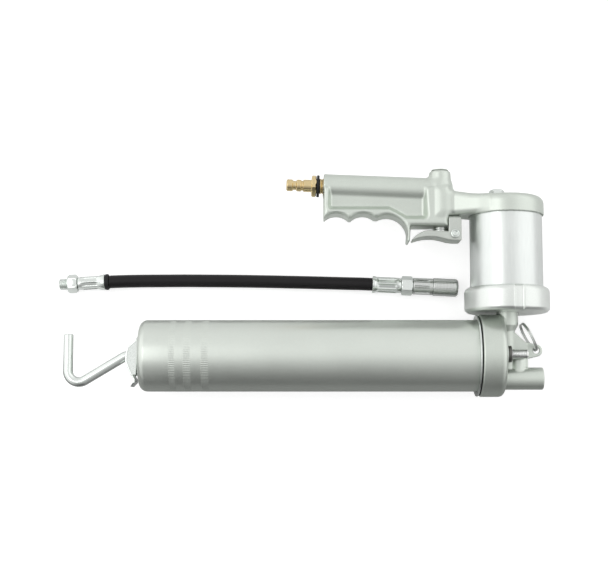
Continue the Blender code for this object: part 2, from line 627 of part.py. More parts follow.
def follower(gun):
    cup = [
        (0.0045, -0.0400), (0.0180, -0.0400), (0.0268, -0.0440), (0.0268, -0.0420), (0.0190, FOLLOWER_RIM),
        (0.0045, FOLLOWER_RIM),
    ]
    finish(turned("follower_plate", "X", cup, sides=SIDES, hollow=True), "zinc", gun)
    seal = [
        (0.0045, -0.0430), (0.0170, -0.0430), (0.0262, -0.0475), (0.0272, -0.0540), (0.0262, -0.0540),
        (0.0250, -0.0490), (0.0165, -0.0450), (0.0045, -0.0450),
    ]
    finish(turned("follower_seal", "X", seal, sides=SIDES, hollow=True), "rubber", gun)
    finish(ring("follower_washer", "X", 0.0045, 0.0160, -0.0470, -0.0455), "zinc", gun)
    spring = coil("follower_spring", "X", 0.0140, 0.0011, -0.0484, -0.2931, turns=8)
    finish(spring, "steel", gun)


def pull_rod(gun):
    """The follower rod, whose outer end is bent into the hook that the user pulls."""
    corners = [
        Vector((-0.0300, 0, 0)),
        Vector((-0.3095, 0, 0)),
        Vector((HOOK_X, -0.0282, 0)),
        Vector((HOOK_X, HOOK_TOP, 0)),
    ]
    path = rounded_path(corners, 0.0090)
    item = tube_along("pull_rod", path, ROD_R)
    finish(item, "zinc", gun)
    nut = hex_bar("rod_nut", "X", 0.0130, FOLLOWER_RIM + GAP, FOLLOWER_RIM + 0.0055, bore=ROD_R + 0.0004)
    finish(nut, "zinc", gun)


# ---- delivery hose, lying on the table beside the barrel -----------------------------------------
def hose_end(name, gun, place, slope):
    """An empty at one end of the hose; its X axis runs along the fittings there."""
    end = add_object(name, None, place)
    end.parent = gun
    end.rotation_euler = (0, 0, slope)
    return end


def hose_assembly(gun):
    route = [Vector((x, y, z - FLANGE_R)) for x, y, z in HOSE_ROUTE]
    finish(tube_along("hose_tube", smooth_line(route, 22), HOSE_R, sides_level=3), "rubber", gun)

    left = hose_end("hose_left_end", gun, route[0], LEFT_SLOPE)
    finish(ring("hose_ring", "X", 0.0030, 0.0067, -0.0034, -GAP), "rubber", left)
    ferrule = [
        (0.0030, -0.0037), (0.0066, -0.0037), (0.0066, -0.0075), (0.0056, -0.0100), (0.0056, -0.0228),
        (0.0050, -0.0262), (0.0030, -0.0262),
    ]
    finish(turned("inlet_ferrule", "X", ferrule, hollow=True), "zinc", left)
    nipple = hex_bar("hose_nipple", "X", LEFT_HEX, -0.0345, -0.0265, turn=30)
    thread = rod("nipple_thread", "X", THREAD_R - 0.0003, -0.0415, -0.0340)
    join(nipple, thread)
    cut(nipple, rod("nipple_bore", "X", 0.0022, -0.0430, -0.0250, sides=12))
    finish(nipple, "zinc", left)

    right = hose_end("hose_right_end", gun, route[-1], RIGHT_SLOPE)
    ferrule = [
        (0.0030, GAP), (0.0072, GAP), (0.0072, 0.0020), (0.0066, 0.0032), (0.0066, 0.0210), (0.0060, 0.0240),
        (0.0030, 0.0240),
    ]
    finish(turned("outlet_ferrule", "X", ferrule, hollow=True), "zinc", right)
    finish(hex_bar("outlet_nut", "X", RIGHT_HEX, 0.0243, 0.0338, bore=0.0030, turn=30), "zinc", right)
    coupler(right)


def coupler(end):
    """The four-jaw grease coupler: body, spring, piston and seal behind jaws held by the nose sleeve."""
    body = [
        (0.0030, 0.0341), (0.0070, 0.0341), (0.0070, 0.0505), (0.0060, 0.0505), (0.0060, 0.0560),
        (0.0046, 0.0560), (0.0046, 0.0380), (0.0030, 0.0380),
    ]
    finish(turned("coupler_body", "X", body, hollow=True), "steel", end)
    sleeve = [
        (0.0063, 0.0508), (SLEEVE_R, 0.0515), (SLEEVE_R, 0.0695), (SLEEVE_R - 0.0012, 0.0716),
        (0.0052, 0.0716), (0.0052, 0.0700), (0.0063, 0.0680),
    ]
    finish(turned("coupler_sleeve", "X", sleeve, sides=24, hollow=True), "steel", end)
    jaws = ring("coupler_jaws", "X", 0.0036, 0.0049, 0.0600, 0.0712)
    jaws_collar = ring("jaws_collar", "X", 0.0036, 0.0058, 0.0600, 0.0630)
    join(jaws, jaws_collar)
    for quarter in range(2):
        slit = block("slit", (0.0625, -0.0004, -0.010), (0.0730, 0.0004, 0.010))
        slit.rotation_euler = (quarter * math.pi / 2, 0, 0)
        cut(jaws, slit)
    finish(jaws, "steel", end)
    finish(ring("coupler_seal", "X", 0.0012, 0.0043, 0.0560, 0.0580), "rubber", end)
    finish(ring("coupler_piston", "X", 0.0012, 0.0042, 0.0527, 0.0557), "steel", end)
    finish(coil("coupler_spring", "X", 0.0034, 0.0005, 0.0387, 0.0520, turns=5, steps=8), "steel", end)


def main():
    clear_scene()
    gun = add_object("datum", None, ORIGIN)
    makers = [
        cylinder_base, motor_cylinder, air_piston, grip_casting, oiler_plug, air_plug, start_valve, trigger,
        pump_head, check_valve, bleed_screw, split_ring, grease_barrel, rod_lock_plate, follower, pull_rod,
        hose_assembly,
    ]
    for make in makers:
        make(gun)
    for item in bpy.data.objects:
        for step in item.modifiers:
            step.object.parent = item.parent  # a Boolean's helper hangs where its piece does


main()
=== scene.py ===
"""Looks of the air-driven grease gun and its hose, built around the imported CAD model.

Metres, in the model's own frame: z = 0 is the table. Places are counted from the datum, the point where
the air motor's axis (along Y) crosses the grease barrel's axis (along X). Castings are skins drawn around
distance fields, so that their fillets are real; turned pieces have rounded profiles.
"""

import json
import math

import bmesh
import bpy
import numpy as np
from mathutils import Matrix, Vector


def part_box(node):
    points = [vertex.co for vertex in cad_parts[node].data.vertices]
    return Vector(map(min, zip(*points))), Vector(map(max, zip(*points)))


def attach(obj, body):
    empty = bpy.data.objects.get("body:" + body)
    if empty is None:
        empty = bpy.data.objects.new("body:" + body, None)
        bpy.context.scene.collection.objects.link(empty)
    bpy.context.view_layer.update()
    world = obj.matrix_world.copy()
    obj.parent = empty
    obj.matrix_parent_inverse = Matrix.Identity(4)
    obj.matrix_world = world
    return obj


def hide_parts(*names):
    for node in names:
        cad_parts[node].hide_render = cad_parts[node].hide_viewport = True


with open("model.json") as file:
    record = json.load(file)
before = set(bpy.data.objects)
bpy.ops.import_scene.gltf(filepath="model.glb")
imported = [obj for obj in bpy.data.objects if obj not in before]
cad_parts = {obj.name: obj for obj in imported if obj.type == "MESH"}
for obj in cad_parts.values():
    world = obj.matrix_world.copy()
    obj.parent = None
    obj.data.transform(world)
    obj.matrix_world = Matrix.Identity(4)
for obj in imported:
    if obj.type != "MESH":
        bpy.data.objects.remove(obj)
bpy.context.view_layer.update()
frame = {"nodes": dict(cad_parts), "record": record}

RECORD = frame["record"]
BODY_OF = {node: body for body, nodes in RECORD["behaviour"]["bodies"].items() for node in nodes}
SLOT_OF = {part["node"]: part["material_slot"] for part in RECORD["subparts"]}
BARREL_LOW, BARREL_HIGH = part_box("barrel_tube")
MOTOR_LOW, MOTOR_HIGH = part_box("motor_cylinder")
DATUM = Vector((
    (MOTOR_LOW.x + MOTOR_HIGH.x) / 2,
    (BARREL_LOW.y + BARREL_HIGH.y) / 2,
    (BARREL_LOW.z + BARREL_HIGH.z) / 2,
))

# ---- dimensions, counted from the datum ----------------------------------------------------------
GAP = 0.0003  # clearance between touching pieces
SHARP_ANGLE = 35  # degrees between faces, from which their edge is drawn sharp
SAME_POINT = 1e-7  # points closer than this are merged
BARREL_R = 0.0290
BARREL_WALL = 0.0015
BARREL_END = -0.2981
BARREL_TOP = -0.0095
HEAD_R = 0.0333
HEAD_LEFT = -0.0237
HEAD_RIGHT = -0.0040
FLANGE_R = 0.0345
FLANGE_BOTTOM = 0.0349
FLANGE_TOP = 0.0553
CYLINDER_R = 0.0295
CYLINDER_BORE = 0.0265
CAP_R = 0.0310
CAP_BOTTOM = 0.1139
CAP_TOP = 0.1297
VALVE_X = -0.0535
GRIP_LEFT = -0.1493
GRIP_HALF = 0.0122
AIR_Y = 0.1392  # the air passage's axis at the grip's left end
AIR_SLOPE = math.radians(-2.2)
BLOCK_BOTTOM = 0.1048
BLOCK_RIGHT = -0.0482
PIVOT = (-0.0425, 0.0985, 0.0)
PIVOT_R = 0.0017
OUTLET_Y = -0.0185
OUTLET_R = 0.0090
OUTLET_END = 0.0279
BLEED = (0.0, 0.0005, 0.0137)
RING_HOLE = Vector((0.0229, 0.0042, 0.0))
RING_R = 0.0122
RING_LEAN = math.radians(118)
HOOK_X = -0.3562
HOOK_TOP = 0.0174
ROD_R = 0.0040
LOCK_X = BARREL_END - 0.0012
THREAD_R = 0.0050
HOSE_R = 0.0054
SLEEVE_R = 0.0075
LEFT_SLOPE = math.radians(3.0)
RIGHT_SLOPE = math.radians(-2.5)
HOSE_ROUTE = [  # x, y from the datum and z above the table
    (-0.3280, 0.0634, 0.0068), (-0.3190, 0.0638, 0.0066), (-0.3080, 0.0641, 0.0062),
    (-0.2950, 0.0643, 0.0058), (-0.2800, 0.0644, 0.0055), (-0.2640, 0.0645, 0.0054),
    (-0.2470, 0.0644, 0.0054), (-0.2300, 0.0643, 0.0054), (-0.2130, 0.0641, 0.0054),
    (-0.1960, 0.0638, 0.0055), (-0.1790, 0.0634, 0.0057), (-0.1620, 0.0630, 0.0060),
    (-0.1450, 0.0625, 0.0064), (-0.1290, 0.0620, 0.0069), (-0.1180, 0.0617, 0.0073),
    (-0.1083, 0.0613, 0.0075),
]

AXIS_TURN = {
    "X": Matrix.Rotation(math.pi / 2, 4, "Y"),
    "Y": Matrix.Rotation(-math.pi / 2, 4, "X"),
    "Z": Matrix.Identity(4),
}


# ---- materials -----------------------------------------------------------------------------------
NOISE_LOW, NOISE_HIGH = 0.3, 0.7  # most of a noise texture's values lie between these
PATCH_SCALE = 35  # of the broad noise, for patches some centimetres wide
EDGE_LOW, EDGE_HIGH = 0.53, 0.62  # pointiness from which an edge is worn, and where it is fully worn
ROUGHNESS_SPREAD = 0.12
RELIEF_DEPTH = 0.0002
WHITE = (1, 1, 1, 1)


def ranged(nodes, links, value, from_low, from_high, to_low, to_high, smooth=False):
    """Bring a value from one range to another, held at both ends."""
    made = nodes.new("ShaderNodeMapRange")
    made.interpolation_type = "SMOOTHSTEP" if smooth else "LINEAR"
    for name, number in (
        ("From Min", from_low), ("From Max", from_high), ("To Min", to_low), ("To Max", to_high)
    ):
        made.inputs[name].default_value = number
    links.new(value, made.inputs["Value"])
    return made.outputs["Result"]


def calculated(nodes, links, operation, *values):
    """A Math node's result; each value is a socket or a number."""
    made = nodes.new("ShaderNodeMath")
    made.operation = operation
    for socket, value in zip(made.inputs, values):
        if isinstance(value, bpy.types.NodeSocket):
            links.new(value, socket)
        else:
            socket.default_value = value
    return made.outputs["Value"]


def noise(nodes, links, vector, scale, detail):
    made = nodes.new("ShaderNodeTexNoise")
    made.inputs["Scale"].default_value = scale
    made.inputs["Detail"].default_value = detail
    links.new(vector, made.inputs["Vector"])
    return made.outputs["Fac"]


def spread(nodes, links, value, low, high):
    """Bring a noise value to the range from low to high."""
    return ranged(nodes, links, value, NOISE_LOW, NOISE_HIGH, low, high)


def look(
    name, color, roughness, metallic, grain, bump, patch=0.05, wear=0.10, stretch=(1, 1, 1), specular=0.5
):
    """A worn-in surface: patchy colour and roughness, fine grain with bump, and lighter edges."""
    made = bpy.data.materials.new(name)
    made.use_nodes = True
    nodes, links = made.node_tree.nodes, made.node_tree.links
    shader = nodes["Principled BSDF"]
    shader.inputs["Metallic"].default_value = metallic
    shader.inputs["Specular IOR Level"].default_value = specular
    where = nodes.new("ShaderNodeTexCoord").outputs["Object"]
    along = nodes.new("ShaderNodeVectorMath")
    along.operation = "MULTIPLY"
    along.inputs[1].default_value = stretch
    links.new(where, along.inputs[0])
    fine = noise(nodes, links, along.outputs["Vector"], grain, 3)
    broad = noise(nodes, links, where, PATCH_SCALE, 3)

    tint = nodes.new("ShaderNodeMix")
    tint.data_type = "RGBA"
    tint.inputs["A"].default_value = (*[c * (1 - patch) for c in color], 1)
    tint.inputs["B"].default_value = (*[min(c * (1 + patch), 1) for c in color], 1)
    half = calculated(nodes, links, "MULTIPLY", broad, 0.5)
    both = calculated(nodes, links, "MULTIPLY_ADD", fine, 0.5, half)
    links.new(spread(nodes, links, both, 0, 1), tint.inputs["Factor"])

    pointiness = nodes.new("ShaderNodeNewGeometry").outputs["Pointiness"]
    edge = ranged(nodes, links, pointiness, EDGE_LOW, EDGE_HIGH, 0, wear)
    worn = nodes.new("ShaderNodeMix")
    worn.data_type = "RGBA"
    worn.inputs["B"].default_value = (*[min(c * 1.3 + 0.1, 1) for c in color], 1)
    links.new(edge, worn.inputs["Factor"])
    links.new(tint.outputs["Result"], worn.inputs["A"])
    links.new(worn.outputs["Result"], shader.inputs["Base Color"])

    smoothest, roughest = roughness * (1 - ROUGHNESS_SPREAD), roughness * (1 + ROUGHNESS_SPREAD)
    links.new(spread(nodes, links, both, smoothest, roughest), shader.inputs["Roughness"])
    relief = nodes.new("ShaderNodeBump")
    relief.inputs["Strength"].default_value = bump
    relief.inputs["Distance"].default_value = RELIEF_DEPTH
    links.new(fine, relief.inputs["Height"])
    links.new(relief.outputs["Normal"], shader.inputs["Normal"])
    return made


LOOKS = {  # colour, roughness, metallic, grain per metre, strength of the relief
    "cast_silver": look("cast_silver", (0.63, 0.675, 0.62), 0.38, 0.90, 900, 0.22),
    "bright_cast": look("bright_cast", (0.76, 0.79, 0.76), 0.34, 0.90, 900, 0.20),
    "barrel_silver": look("barrel_silver", (0.68, 0.72, 0.67), 0.36, 0.92, 500, 0.02, patch=0.02),
    "cylinder_aluminium": look(
        "cylinder_aluminium", (0.74, 0.77, 0.75), 0.32, 0.95, 500, 0.04, stretch=(1, 0.15, 1)
    ),
    "brass": look("brass", (0.74, 0.59, 0.33), 0.12, 1.0, 500, 0.08, stretch=(4, 1, 1)),
    "chrome": look("chrome", (0.80, 0.81, 0.80), 0.08, 1.0, 500, 0.04),
    "zinc": look("zinc", (0.76, 0.80, 0.77), 0.16, 1.0, 600, 0.08),
    "steel": look("steel", (0.64, 0.66, 0.64), 0.20, 1.0, 700, 0.15),
    "dark_steel": look("dark_steel", (0.16, 0.16, 0.15), 0.35, 1.0, 700, 0.20),
    "rubber": look("rubber", (0.012, 0.012, 0.013), 0.50, 0.0, 900, 0.30, wear=0.03, specular=0.25),
    "hose_rubber": look(
        "hose_rubber", (0.010, 0.009, 0.010), 0.38, 0.0, 1400, 0.35, wear=0.02, specular=0.22
    ),
    "trigger_silver": look("trigger_silver", (0.58, 0.61, 0.57), 0.42, 0.88, 1500, 0.70, patch=0.18),
}


# ---- fitting a piece into the frame ---------------------------------------------------------------
def finish(item, *nodes, finish_name=None):
    """Let a piece stand for CAD nodes: it rides on their body and takes their material slot."""
    slot = SLOT_OF[nodes[0]]
    item.data.materials.append(LOOKS[finish_name or slot])
    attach(item, BODY_OF[nodes[0]])
    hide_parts(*nodes)
    return item


def in_scene(name, data):
    item = bpy.data.objects.new(name, data)
    bpy.context.scene.collection.objects.link(item)
    return item


def add_object(name, data, place=(0, 0, 0)):
    """An object at a place counted from the datum."""
    item = in_scene(name, data)
    item.location = DATUM + Vector(place)
    return item


def mesh_piece(name, points, faces, place=(0, 0, 0), sharp=SHARP_ANGLE):
    mesh = bpy.data.meshes.new(name)
    mesh.from_pydata(points, [], faces)
    made = bmesh.new()
    made.from_mesh(mesh)
    bmesh.ops.remove_doubles(made, verts=made.verts, dist=SAME_POINT)
    bmesh.ops.recalc_face_normals(made, faces=made.faces)
    made.to_mesh(mesh)
    made.free()
    mesh.shade_smooth()
    if sharp:
        mesh.set_sharp_from_angle(angle=math.radians(sharp))
    return add_object(name, mesh, place)


# ---- turned pieces --------------------------------------------------------------------------------
SMALLEST_FILLET = 2e-5
NEARLY_STRAIGHT = math.radians(170)


def soften(profile, radius, closed):
    """Round the corners of a profile, each by at most a third of its shorter edge."""
    points = [Vector(p) for p in profile]
    count = len(points)
    softened = []
    for k, corner in enumerate(points):
        if not closed and k in (0, count - 1):
            softened.append(tuple(corner))
            continue
        before, after = points[k - 1] - corner, points[(k + 1) % count] - corner
        reach = min(radius, before.length / 3, after.length / 3)
        if reach < SMALLEST_FILLET or before.angle(after) > NEARLY_STRAIGHT:
            softened.append(tuple(corner))
            continue
        first = corner + before.normalized() * reach
        last = corner + after.normalized() * reach
        for t in (0, 0.3, 0.7, 1):
            spot = first * (1 - t) ** 2 + corner * 2 * t * (1 - t) + last * t**2
            softened.append(tuple(spot))
    return softened


def turned(
    name, axis, profile, place=(0, 0, 0), sides=96, hollow=False, soft=0.0003, section=None,
    sharp=SHARP_ANGLE,
):
    """Turn (radius, along) points; section(angle, radius, along) may change the radius by angle."""
    rings = soften(profile, soft, hollow)
    turn = AXIS_TURN[axis]
    points = []
    for radius, along in rings:
        for k in range(sides):
            angle = math.tau * k / sides
            r = section(angle, radius, along) if section and radius > 0 else radius
            points.append(turn @ Vector((r * math.cos(angle), r * math.sin(angle), along)))
    faces = []
    for j in range(len(rings) if hollow else len(rings) - 1):
        low, high = j * sides, (j + 1) % len(rings) * sides
        for k in range(sides):
            after = (k + 1) % sides
            faces.append((low + k, low + after, high + after, high + k))
    return mesh_piece(name, points, faces, place, sharp)


def tube(name, axis, inner, outer, start, end, place=(0, 0, 0), **more):
    profile = [(inner, start), (outer, start), (outer, end), (inner, end)]
    return turned(name, axis, profile, place, hollow=True, **more)


def hex_corner(across_flats):
    """The radius of a hexagon's corners."""
    return across_flats / 2 / math.cos(math.pi / 6)


def hexagon(across_flats, start, end, turn=0.0):
    """A section that trims the stretch from start to end to a hexagon with one corner at turn degrees."""
    sixth = math.pi / 3

    def section(angle, radius, along):
        if not start <= along <= end:
            return radius
        off_flat = (angle - math.radians(turn)) % sixth - sixth / 2
        return min(radius, across_flats / 2 / math.cos(off_flat))

    return section


def nut_profile(flats, start, end, bore):
    """The turned blank of a hexagon with chamfered corners and a bore."""
    corner = hex_corner(flats)
    chamfer = (corner - flats / 2) * 0.8
    face = flats / 2 - 0.0003
    return [
        (bore, start), (face, start), (corner, start + chamfer), (corner, end - chamfer), (face, end),
        (bore, end),
    ]


def thread_cut(angle, along, pitch, depth):
    """How far a V thread is cut into a round bar at this place."""
    turn = (along / pitch - angle / math.tau) % 1
    return depth * abs(2 * turn - 1)


# ---- distance fields ------------------------------------------------------------------------------
def grid(low, high, step):
    """The open coordinates of a grid of points between two corners."""
    axes = [np.arange(a, b + step, step, dtype=np.float64) for a, b in zip(low, high)]
    return np.meshgrid(*axes, indexing="ij", sparse=True)


def meet(a, b, radius=0.0):
    """Where both solids are, their shared edge rounded."""
    if not radius:
        return np.maximum(a, b)
    corner = np.hypot(np.maximum(radius + a, 0), np.maximum(radius + b, 0))
    return np.minimum(-radius, np.maximum(a, b)) + corner


def weld(a, b, radius=0.0):
    """Both solids together, with a fillet where they join."""
    if not radius:
        return np.minimum(a, b)
    corner = np.hypot(np.maximum(radius - a, 0), np.maximum(radius - b, 0))
    return np.maximum(radius, np.minimum(a, b)) - corner


def carve(a, b, radius=0.0):
    """The first solid less the second, with the edge rounded."""
    return meet(a, -b, radius)


def outline_field(u, v, outline):
    """Distance to a closed outline, negative inside."""
    u, v = np.broadcast_arrays(u, v)
    nearest = np.full(u.shape, 1.0)
    inside = np.zeros(u.shape, bool)
    for (au, av), (bu, bv) in zip(outline, outline[1:] + outline[:1]):
        eu, ev = bu - au, bv - av
        length2 = eu * eu + ev * ev
        if length2 < 1e-14:
            continue
        share = np.clip(((u - au) * eu + (v - av) * ev) / length2, 0, 1)
        nearest = np.minimum(nearest, (u - au - eu * share) ** 2 + (v - av - ev * share) ** 2)
        if ev:
            inside ^= ((av > v) != (bv > v)) & (u < eu * (v - av) / ev + au)
    return np.where(inside, -1, 1) * np.sqrt(nearest)


def span(along, low, high):
    return np.abs(along - (low + high) / 2) - (high - low) / 2


def bar(space, axis, radius, start, end, place=(0, 0, 0), rounding=0.0):
    """A round bar along an axis."""
    k = "XYZ".index(axis)
    others = [space[i] - place[i] for i in range(3) if i != k]
    return meet(np.hypot(*others) - radius, span(space[k] - place[k], start, end), rounding)


def turned_field(space, axis, profile, place=(0, 0, 0)):
    """A solid of revolution; its profile starts and ends on the axis."""
    k = "XYZ".index(axis)
    others = [space[i] - place[i] for i in range(3) if i != k]
    past_axis = -0.05  # so that the axis itself counts as inside and not as an edge
    outline = [(radius if radius else past_axis, along) for radius, along in profile]
    return outline_field(np.hypot(*others), space[k] - place[k], outline)


def skin(name, space, field, place=(0, 0, 0), sharp=0):
    """The mesh of a field's zero surface, one point in each grid cell that it passes through."""
    axes = [axis.ravel() for axis in space]
    low = np.array([axis[0] for axis in axes])
    step = axes[0][1] - axes[0][0]
    shape = field.shape
    cells = tuple(n - 1 for n in shape)
    weight = np.zeros(int(np.prod(cells)))
    total = np.zeros((3, weight.size))
    crossings = []
    for k in range(3):
        first = [slice(None)] * 3
        second = [slice(None)] * 3
        first[k], second[k] = slice(0, -1), slice(1, None)
        a, b = field[tuple(first)], field[tuple(second)]
        where = np.nonzero((a < 0) != (b < 0))
        share = a[where] / (a[where] - b[where])
        point = np.array(where, float)
        point[k] += share
        i, j = (k + 1) % 3, (k + 2) % 3
        around = []
        for back_i, back_j in ((0, 0), (1, 0), (1, 1), (0, 1)):
            cell = [np.array(w) for w in where]
            cell[i] = cell[i] - back_i
            cell[j] = cell[j] - back_j
            index = np.ravel_multi_index(cell, cells)
            around.append(index)
            weight += np.bincount(index, minlength=weight.size)
            for d in range(3):
                total[d] += np.bincount(index, weights=point[d], minlength=weight.size)
        quads = np.stack(around, 1)
        outward = a[where] < 0
        quads[~outward] = quads[~outward][:, ::-1]
        crossings.append(quads)
    used = np.nonzero(weight)[0]
    number = np.zeros(weight.size, int)
    number[used] = np.arange(used.size)
    points = (total[:, used] / weight[used]).T * step + low
    faces = number[np.concatenate(crossings)]
    mesh = bpy.data.meshes.new(name)
    mesh.vertices.add(len(points))
    mesh.vertices.foreach_set("co", points.astype(np.float32).ravel())
    mesh.loops.add(faces.size)
    mesh.loops.foreach_set("vertex_index", faces.astype(np.int32).ravel())
    mesh.polygons.add(len(faces))
    mesh.polygons.foreach_set("loop_start", np.arange(0, faces.size, 4, dtype=np.int32))
    mesh.update(calc_edges=True)
    mesh.validate()
    mesh.shade_smooth()
    if sharp:
        mesh.set_sharp_from_angle(angle=math.radians(sharp))
    return add_object(name, mesh, place)


def arc(center, radius, start, end, steps):
    angles = [math.radians(start + (end - start) * k / steps) for k in range(steps + 1)]
    return [(center[0] + radius * math.cos(a), center[1] + radius * math.sin(a)) for a in angles]


# ---- grip casting: cap, neck, valve block, grip and finger guard -----------------------------------
def grip_outline():
    edge = [(BLOCK_RIGHT, 0.1375), (BLOCK_RIGHT, BLOCK_BOTTOM), (-0.0785, BLOCK_BOTTOM)]
    edge += [(-0.0793, 0.0925), (-0.0805, 0.0915), (-0.0817, 0.0925)]
    edge += arc((-0.0975, 0.0970), 0.0165, 8, 118, 16)
    edge += arc((-0.1171, 0.1010), 0.0140, 50, 136, 12)
    edge += arc((-0.1389, 0.1010), 0.0140, 44, 136, 12)
    edge += [(GRIP_LEFT, 0.1120), (GRIP_LEFT, 0.1375)]
    return edge


def air_line_space(space):
    """The grid's coordinates seen from the grip's left end, along the sloping air passage."""
    x, y, z = space
    cos, sin = math.cos(AIR_SLOPE), math.sin(AIR_SLOPE)
    dx, dy = x - GRIP_LEFT, y - AIR_Y
    return dx * cos + dy * sin, dy * cos - dx * sin, z + 0 * dx


def grip_casting():
    space = grid((-0.1515, 0.0895, -0.0325), (0.0325, 0.1545, 0.0325), 0.0007)
    x, y, z = space
    side = np.abs(z)
    body = meet(outline_field(x, y, grip_outline()), side - GRIP_HALF, 0.0032)
    pocket_outline = [
        (-0.1430, 0.1215), (-0.0955, 0.1215), (-0.0885, 0.1180), (-0.0815, 0.1140), (-0.0680, 0.1140),
        (-0.0680, 0.1450), (-0.1430, 0.1450),
    ]
    floor = 0.0072 - 0.10 * (0.1330 - y)  # deeper towards the fingers
    pocket = meet(outline_field(x, y, pocket_outline) - 0.55 * (side - floor), floor - side, 0.0012)
    body = carve(body, pocket, 0.0012)
    line = air_line_space(space)
    tube_length = VALVE_X - GRIP_LEFT
    body = weld(body, bar(line, "X", 0.0102, 0, tube_length, rounding=0.0010), 0.0009)

    boss_profile = [
        (0, 0.1136), (0.0105, 0.1136), (0.0105, 0.1400), (0.0092, 0.1445), (0.0089, 0.1485),
        *arc((0.0065, 0.1494), 0.0024, 0, 90, 5), (0, 0.1518),
    ]
    boss = turned_field(space, "Y", boss_profile, (VALVE_X, 0, 0))
    neck_outline = [
        (-0.0580, 0.1136), (-0.0030, 0.1136), (-0.0030, 0.1280), (-0.0150, 0.1293), (-0.0300, 0.1312),
        (-0.0400, 0.1335), (-0.0580, 0.1380),
    ]
    # The neck's sides run into the cap's round wall nearly along its tangents.
    flare_outline = [
        (-0.0580, -0.0118), (-0.0430, -0.0130), (-0.0160, -0.0262), (-0.0030, -0.0200),
        (-0.0030, 0.0200), (-0.0160, 0.0262), (-0.0430, 0.0130), (-0.0580, 0.0118),
    ]
    neck = meet(outline_field(x, y, neck_outline), outline_field(x, z, flare_outline), 0.0055)
    shoulder = 0.0062
    cap_profile = [
        (0, CAP_BOTTOM), (CAP_R, CAP_BOTTOM),
        *arc((CAP_R - shoulder, CAP_TOP - shoulder), shoulder, 0, 90, 8), (0, CAP_TOP + 0.0004),
    ]
    cap = turned_field(space, "Y", cap_profile)
    pad = meet(
        meet(span(x, 0.0120, 0.0235), span(z, -0.0090, 0.0090), 0.0030), span(y, 0.1200, 0.1306), 0.0012
    )
    body = weld(body, boss, 0.0030)
    body = weld(body, neck, 0.0045)
    body = weld(body, cap, 0.0022)
    body = weld(body, pad, 0.0010)

    below_neck = meet(y - CAP_BOTTOM, BLOCK_RIGHT + 0.0004 - x)
    body = carve(body, below_neck, 0.0004)
    web_left, web_right, web_top, web_foot = -0.0466, -0.0377, 0.1145, PIVOT[1] - 0.0027
    in_block, above_bottom = BLOCK_RIGHT - 0.0010, BLOCK_BOTTOM + 0.0010
    web_outline = [
        (in_block, web_top), (in_block, above_bottom), (web_left, above_bottom), (web_left, web_foot),
        (web_right, web_foot), (web_right, web_top),
    ]
    web = meet(outline_field(x, y, web_outline), side - 0.0064, 0.0005)
    body = weld(body, web, 0.0006)

    cavity = bar(space, "Y", CYLINDER_BORE - 0.0007, 0.1100, 0.1240)
    body = carve(body, cavity)
    groove_wall = span(np.hypot(x, z), CYLINDER_BORE - GAP, CYLINDER_R + GAP)
    body = carve(body, meet(groove_wall, span(y, 0.1120, CAP_BOTTOM + 0.0050)))
    valve = [
        (0, 0.0900), (0.0055, 0.0900), (0.0055, 0.1170), (0.0030, 0.1170), (0.0030, 0.1250),
        (0.0053, 0.1250), (0.0053, 0.1600), (0, 0.1600),
    ]
    body = carve(body, turned_field(space, "Y", valve, (VALVE_X, 0, 0)), 0.0003)
    body = carve(body, bar(line, "X", 0.0066, -0.0100, 0.0113), 0.0003)
    body = carve(body, bar(line, "X", 0.0045, 0.0103, tube_length))
    body = carve(body, bar(space, "X", 0.0020, VALVE_X, -0.0200, (0, 0.1212, 0)))
    body = carve(body, bar(space, "Y", 0.0037, 0.1220, 0.1400, (-0.0069, 0, 0)))
    body = carve(body, bar(space, "Z", PIVOT_R + GAP, -0.010, 0.010, PIVOT))
    finish(skin("grip_casting_detail", space, body), "grip_casting")


def trigger():
    space = grid((-0.0365, -0.0070, -0.0112), (0.0068, 0.0152, 0.0112), 0.0004)
    x, y, z = space
    side = [
        (-0.0053, 0.0139), (0.0053, 0.0139), (0.0053, -0.0048), (0.0040, -0.0056), (-0.0010, -0.0056),
        (-0.0060, -0.0050), (-0.0110, -0.0036), (-0.0150, -0.0028), (-0.0185, -0.0025), (-0.0225, -0.0025),
        (-0.0260, -0.0028), (-0.0305, -0.0038), (-0.0345, -0.0052), (-0.0347, -0.0042), (-0.0320, -0.0014),
        (-0.0290, 0.0006), (-0.0250, 0.0025), (-0.0215, 0.0030), (-0.0180, 0.0029), (-0.0053, 0.0022),
    ]
    half, channel_half, through = 0.0100, 0.0068, 0.0120
    body = meet(outline_field(x, y, side), np.abs(z) - half, 0.0009)
    channel = [
        (-0.0300, 0.0200), (-0.0300, -0.0010), (-0.0185, -0.0008), (-0.0085, -0.0014), (-0.0062, -0.0040),
        (0.0080, -0.0040), (0.0080, 0.0200),
    ]
    body = carve(body, meet(outline_field(x, y, channel), np.abs(z) - channel_half), 0.0003)
    body = carve(body, bar(space, "Z", PIVOT_R + GAP, -through, through))
    finish(skin("trigger_detail", space, body, PIVOT), "trigger", finish_name="trigger_silver")


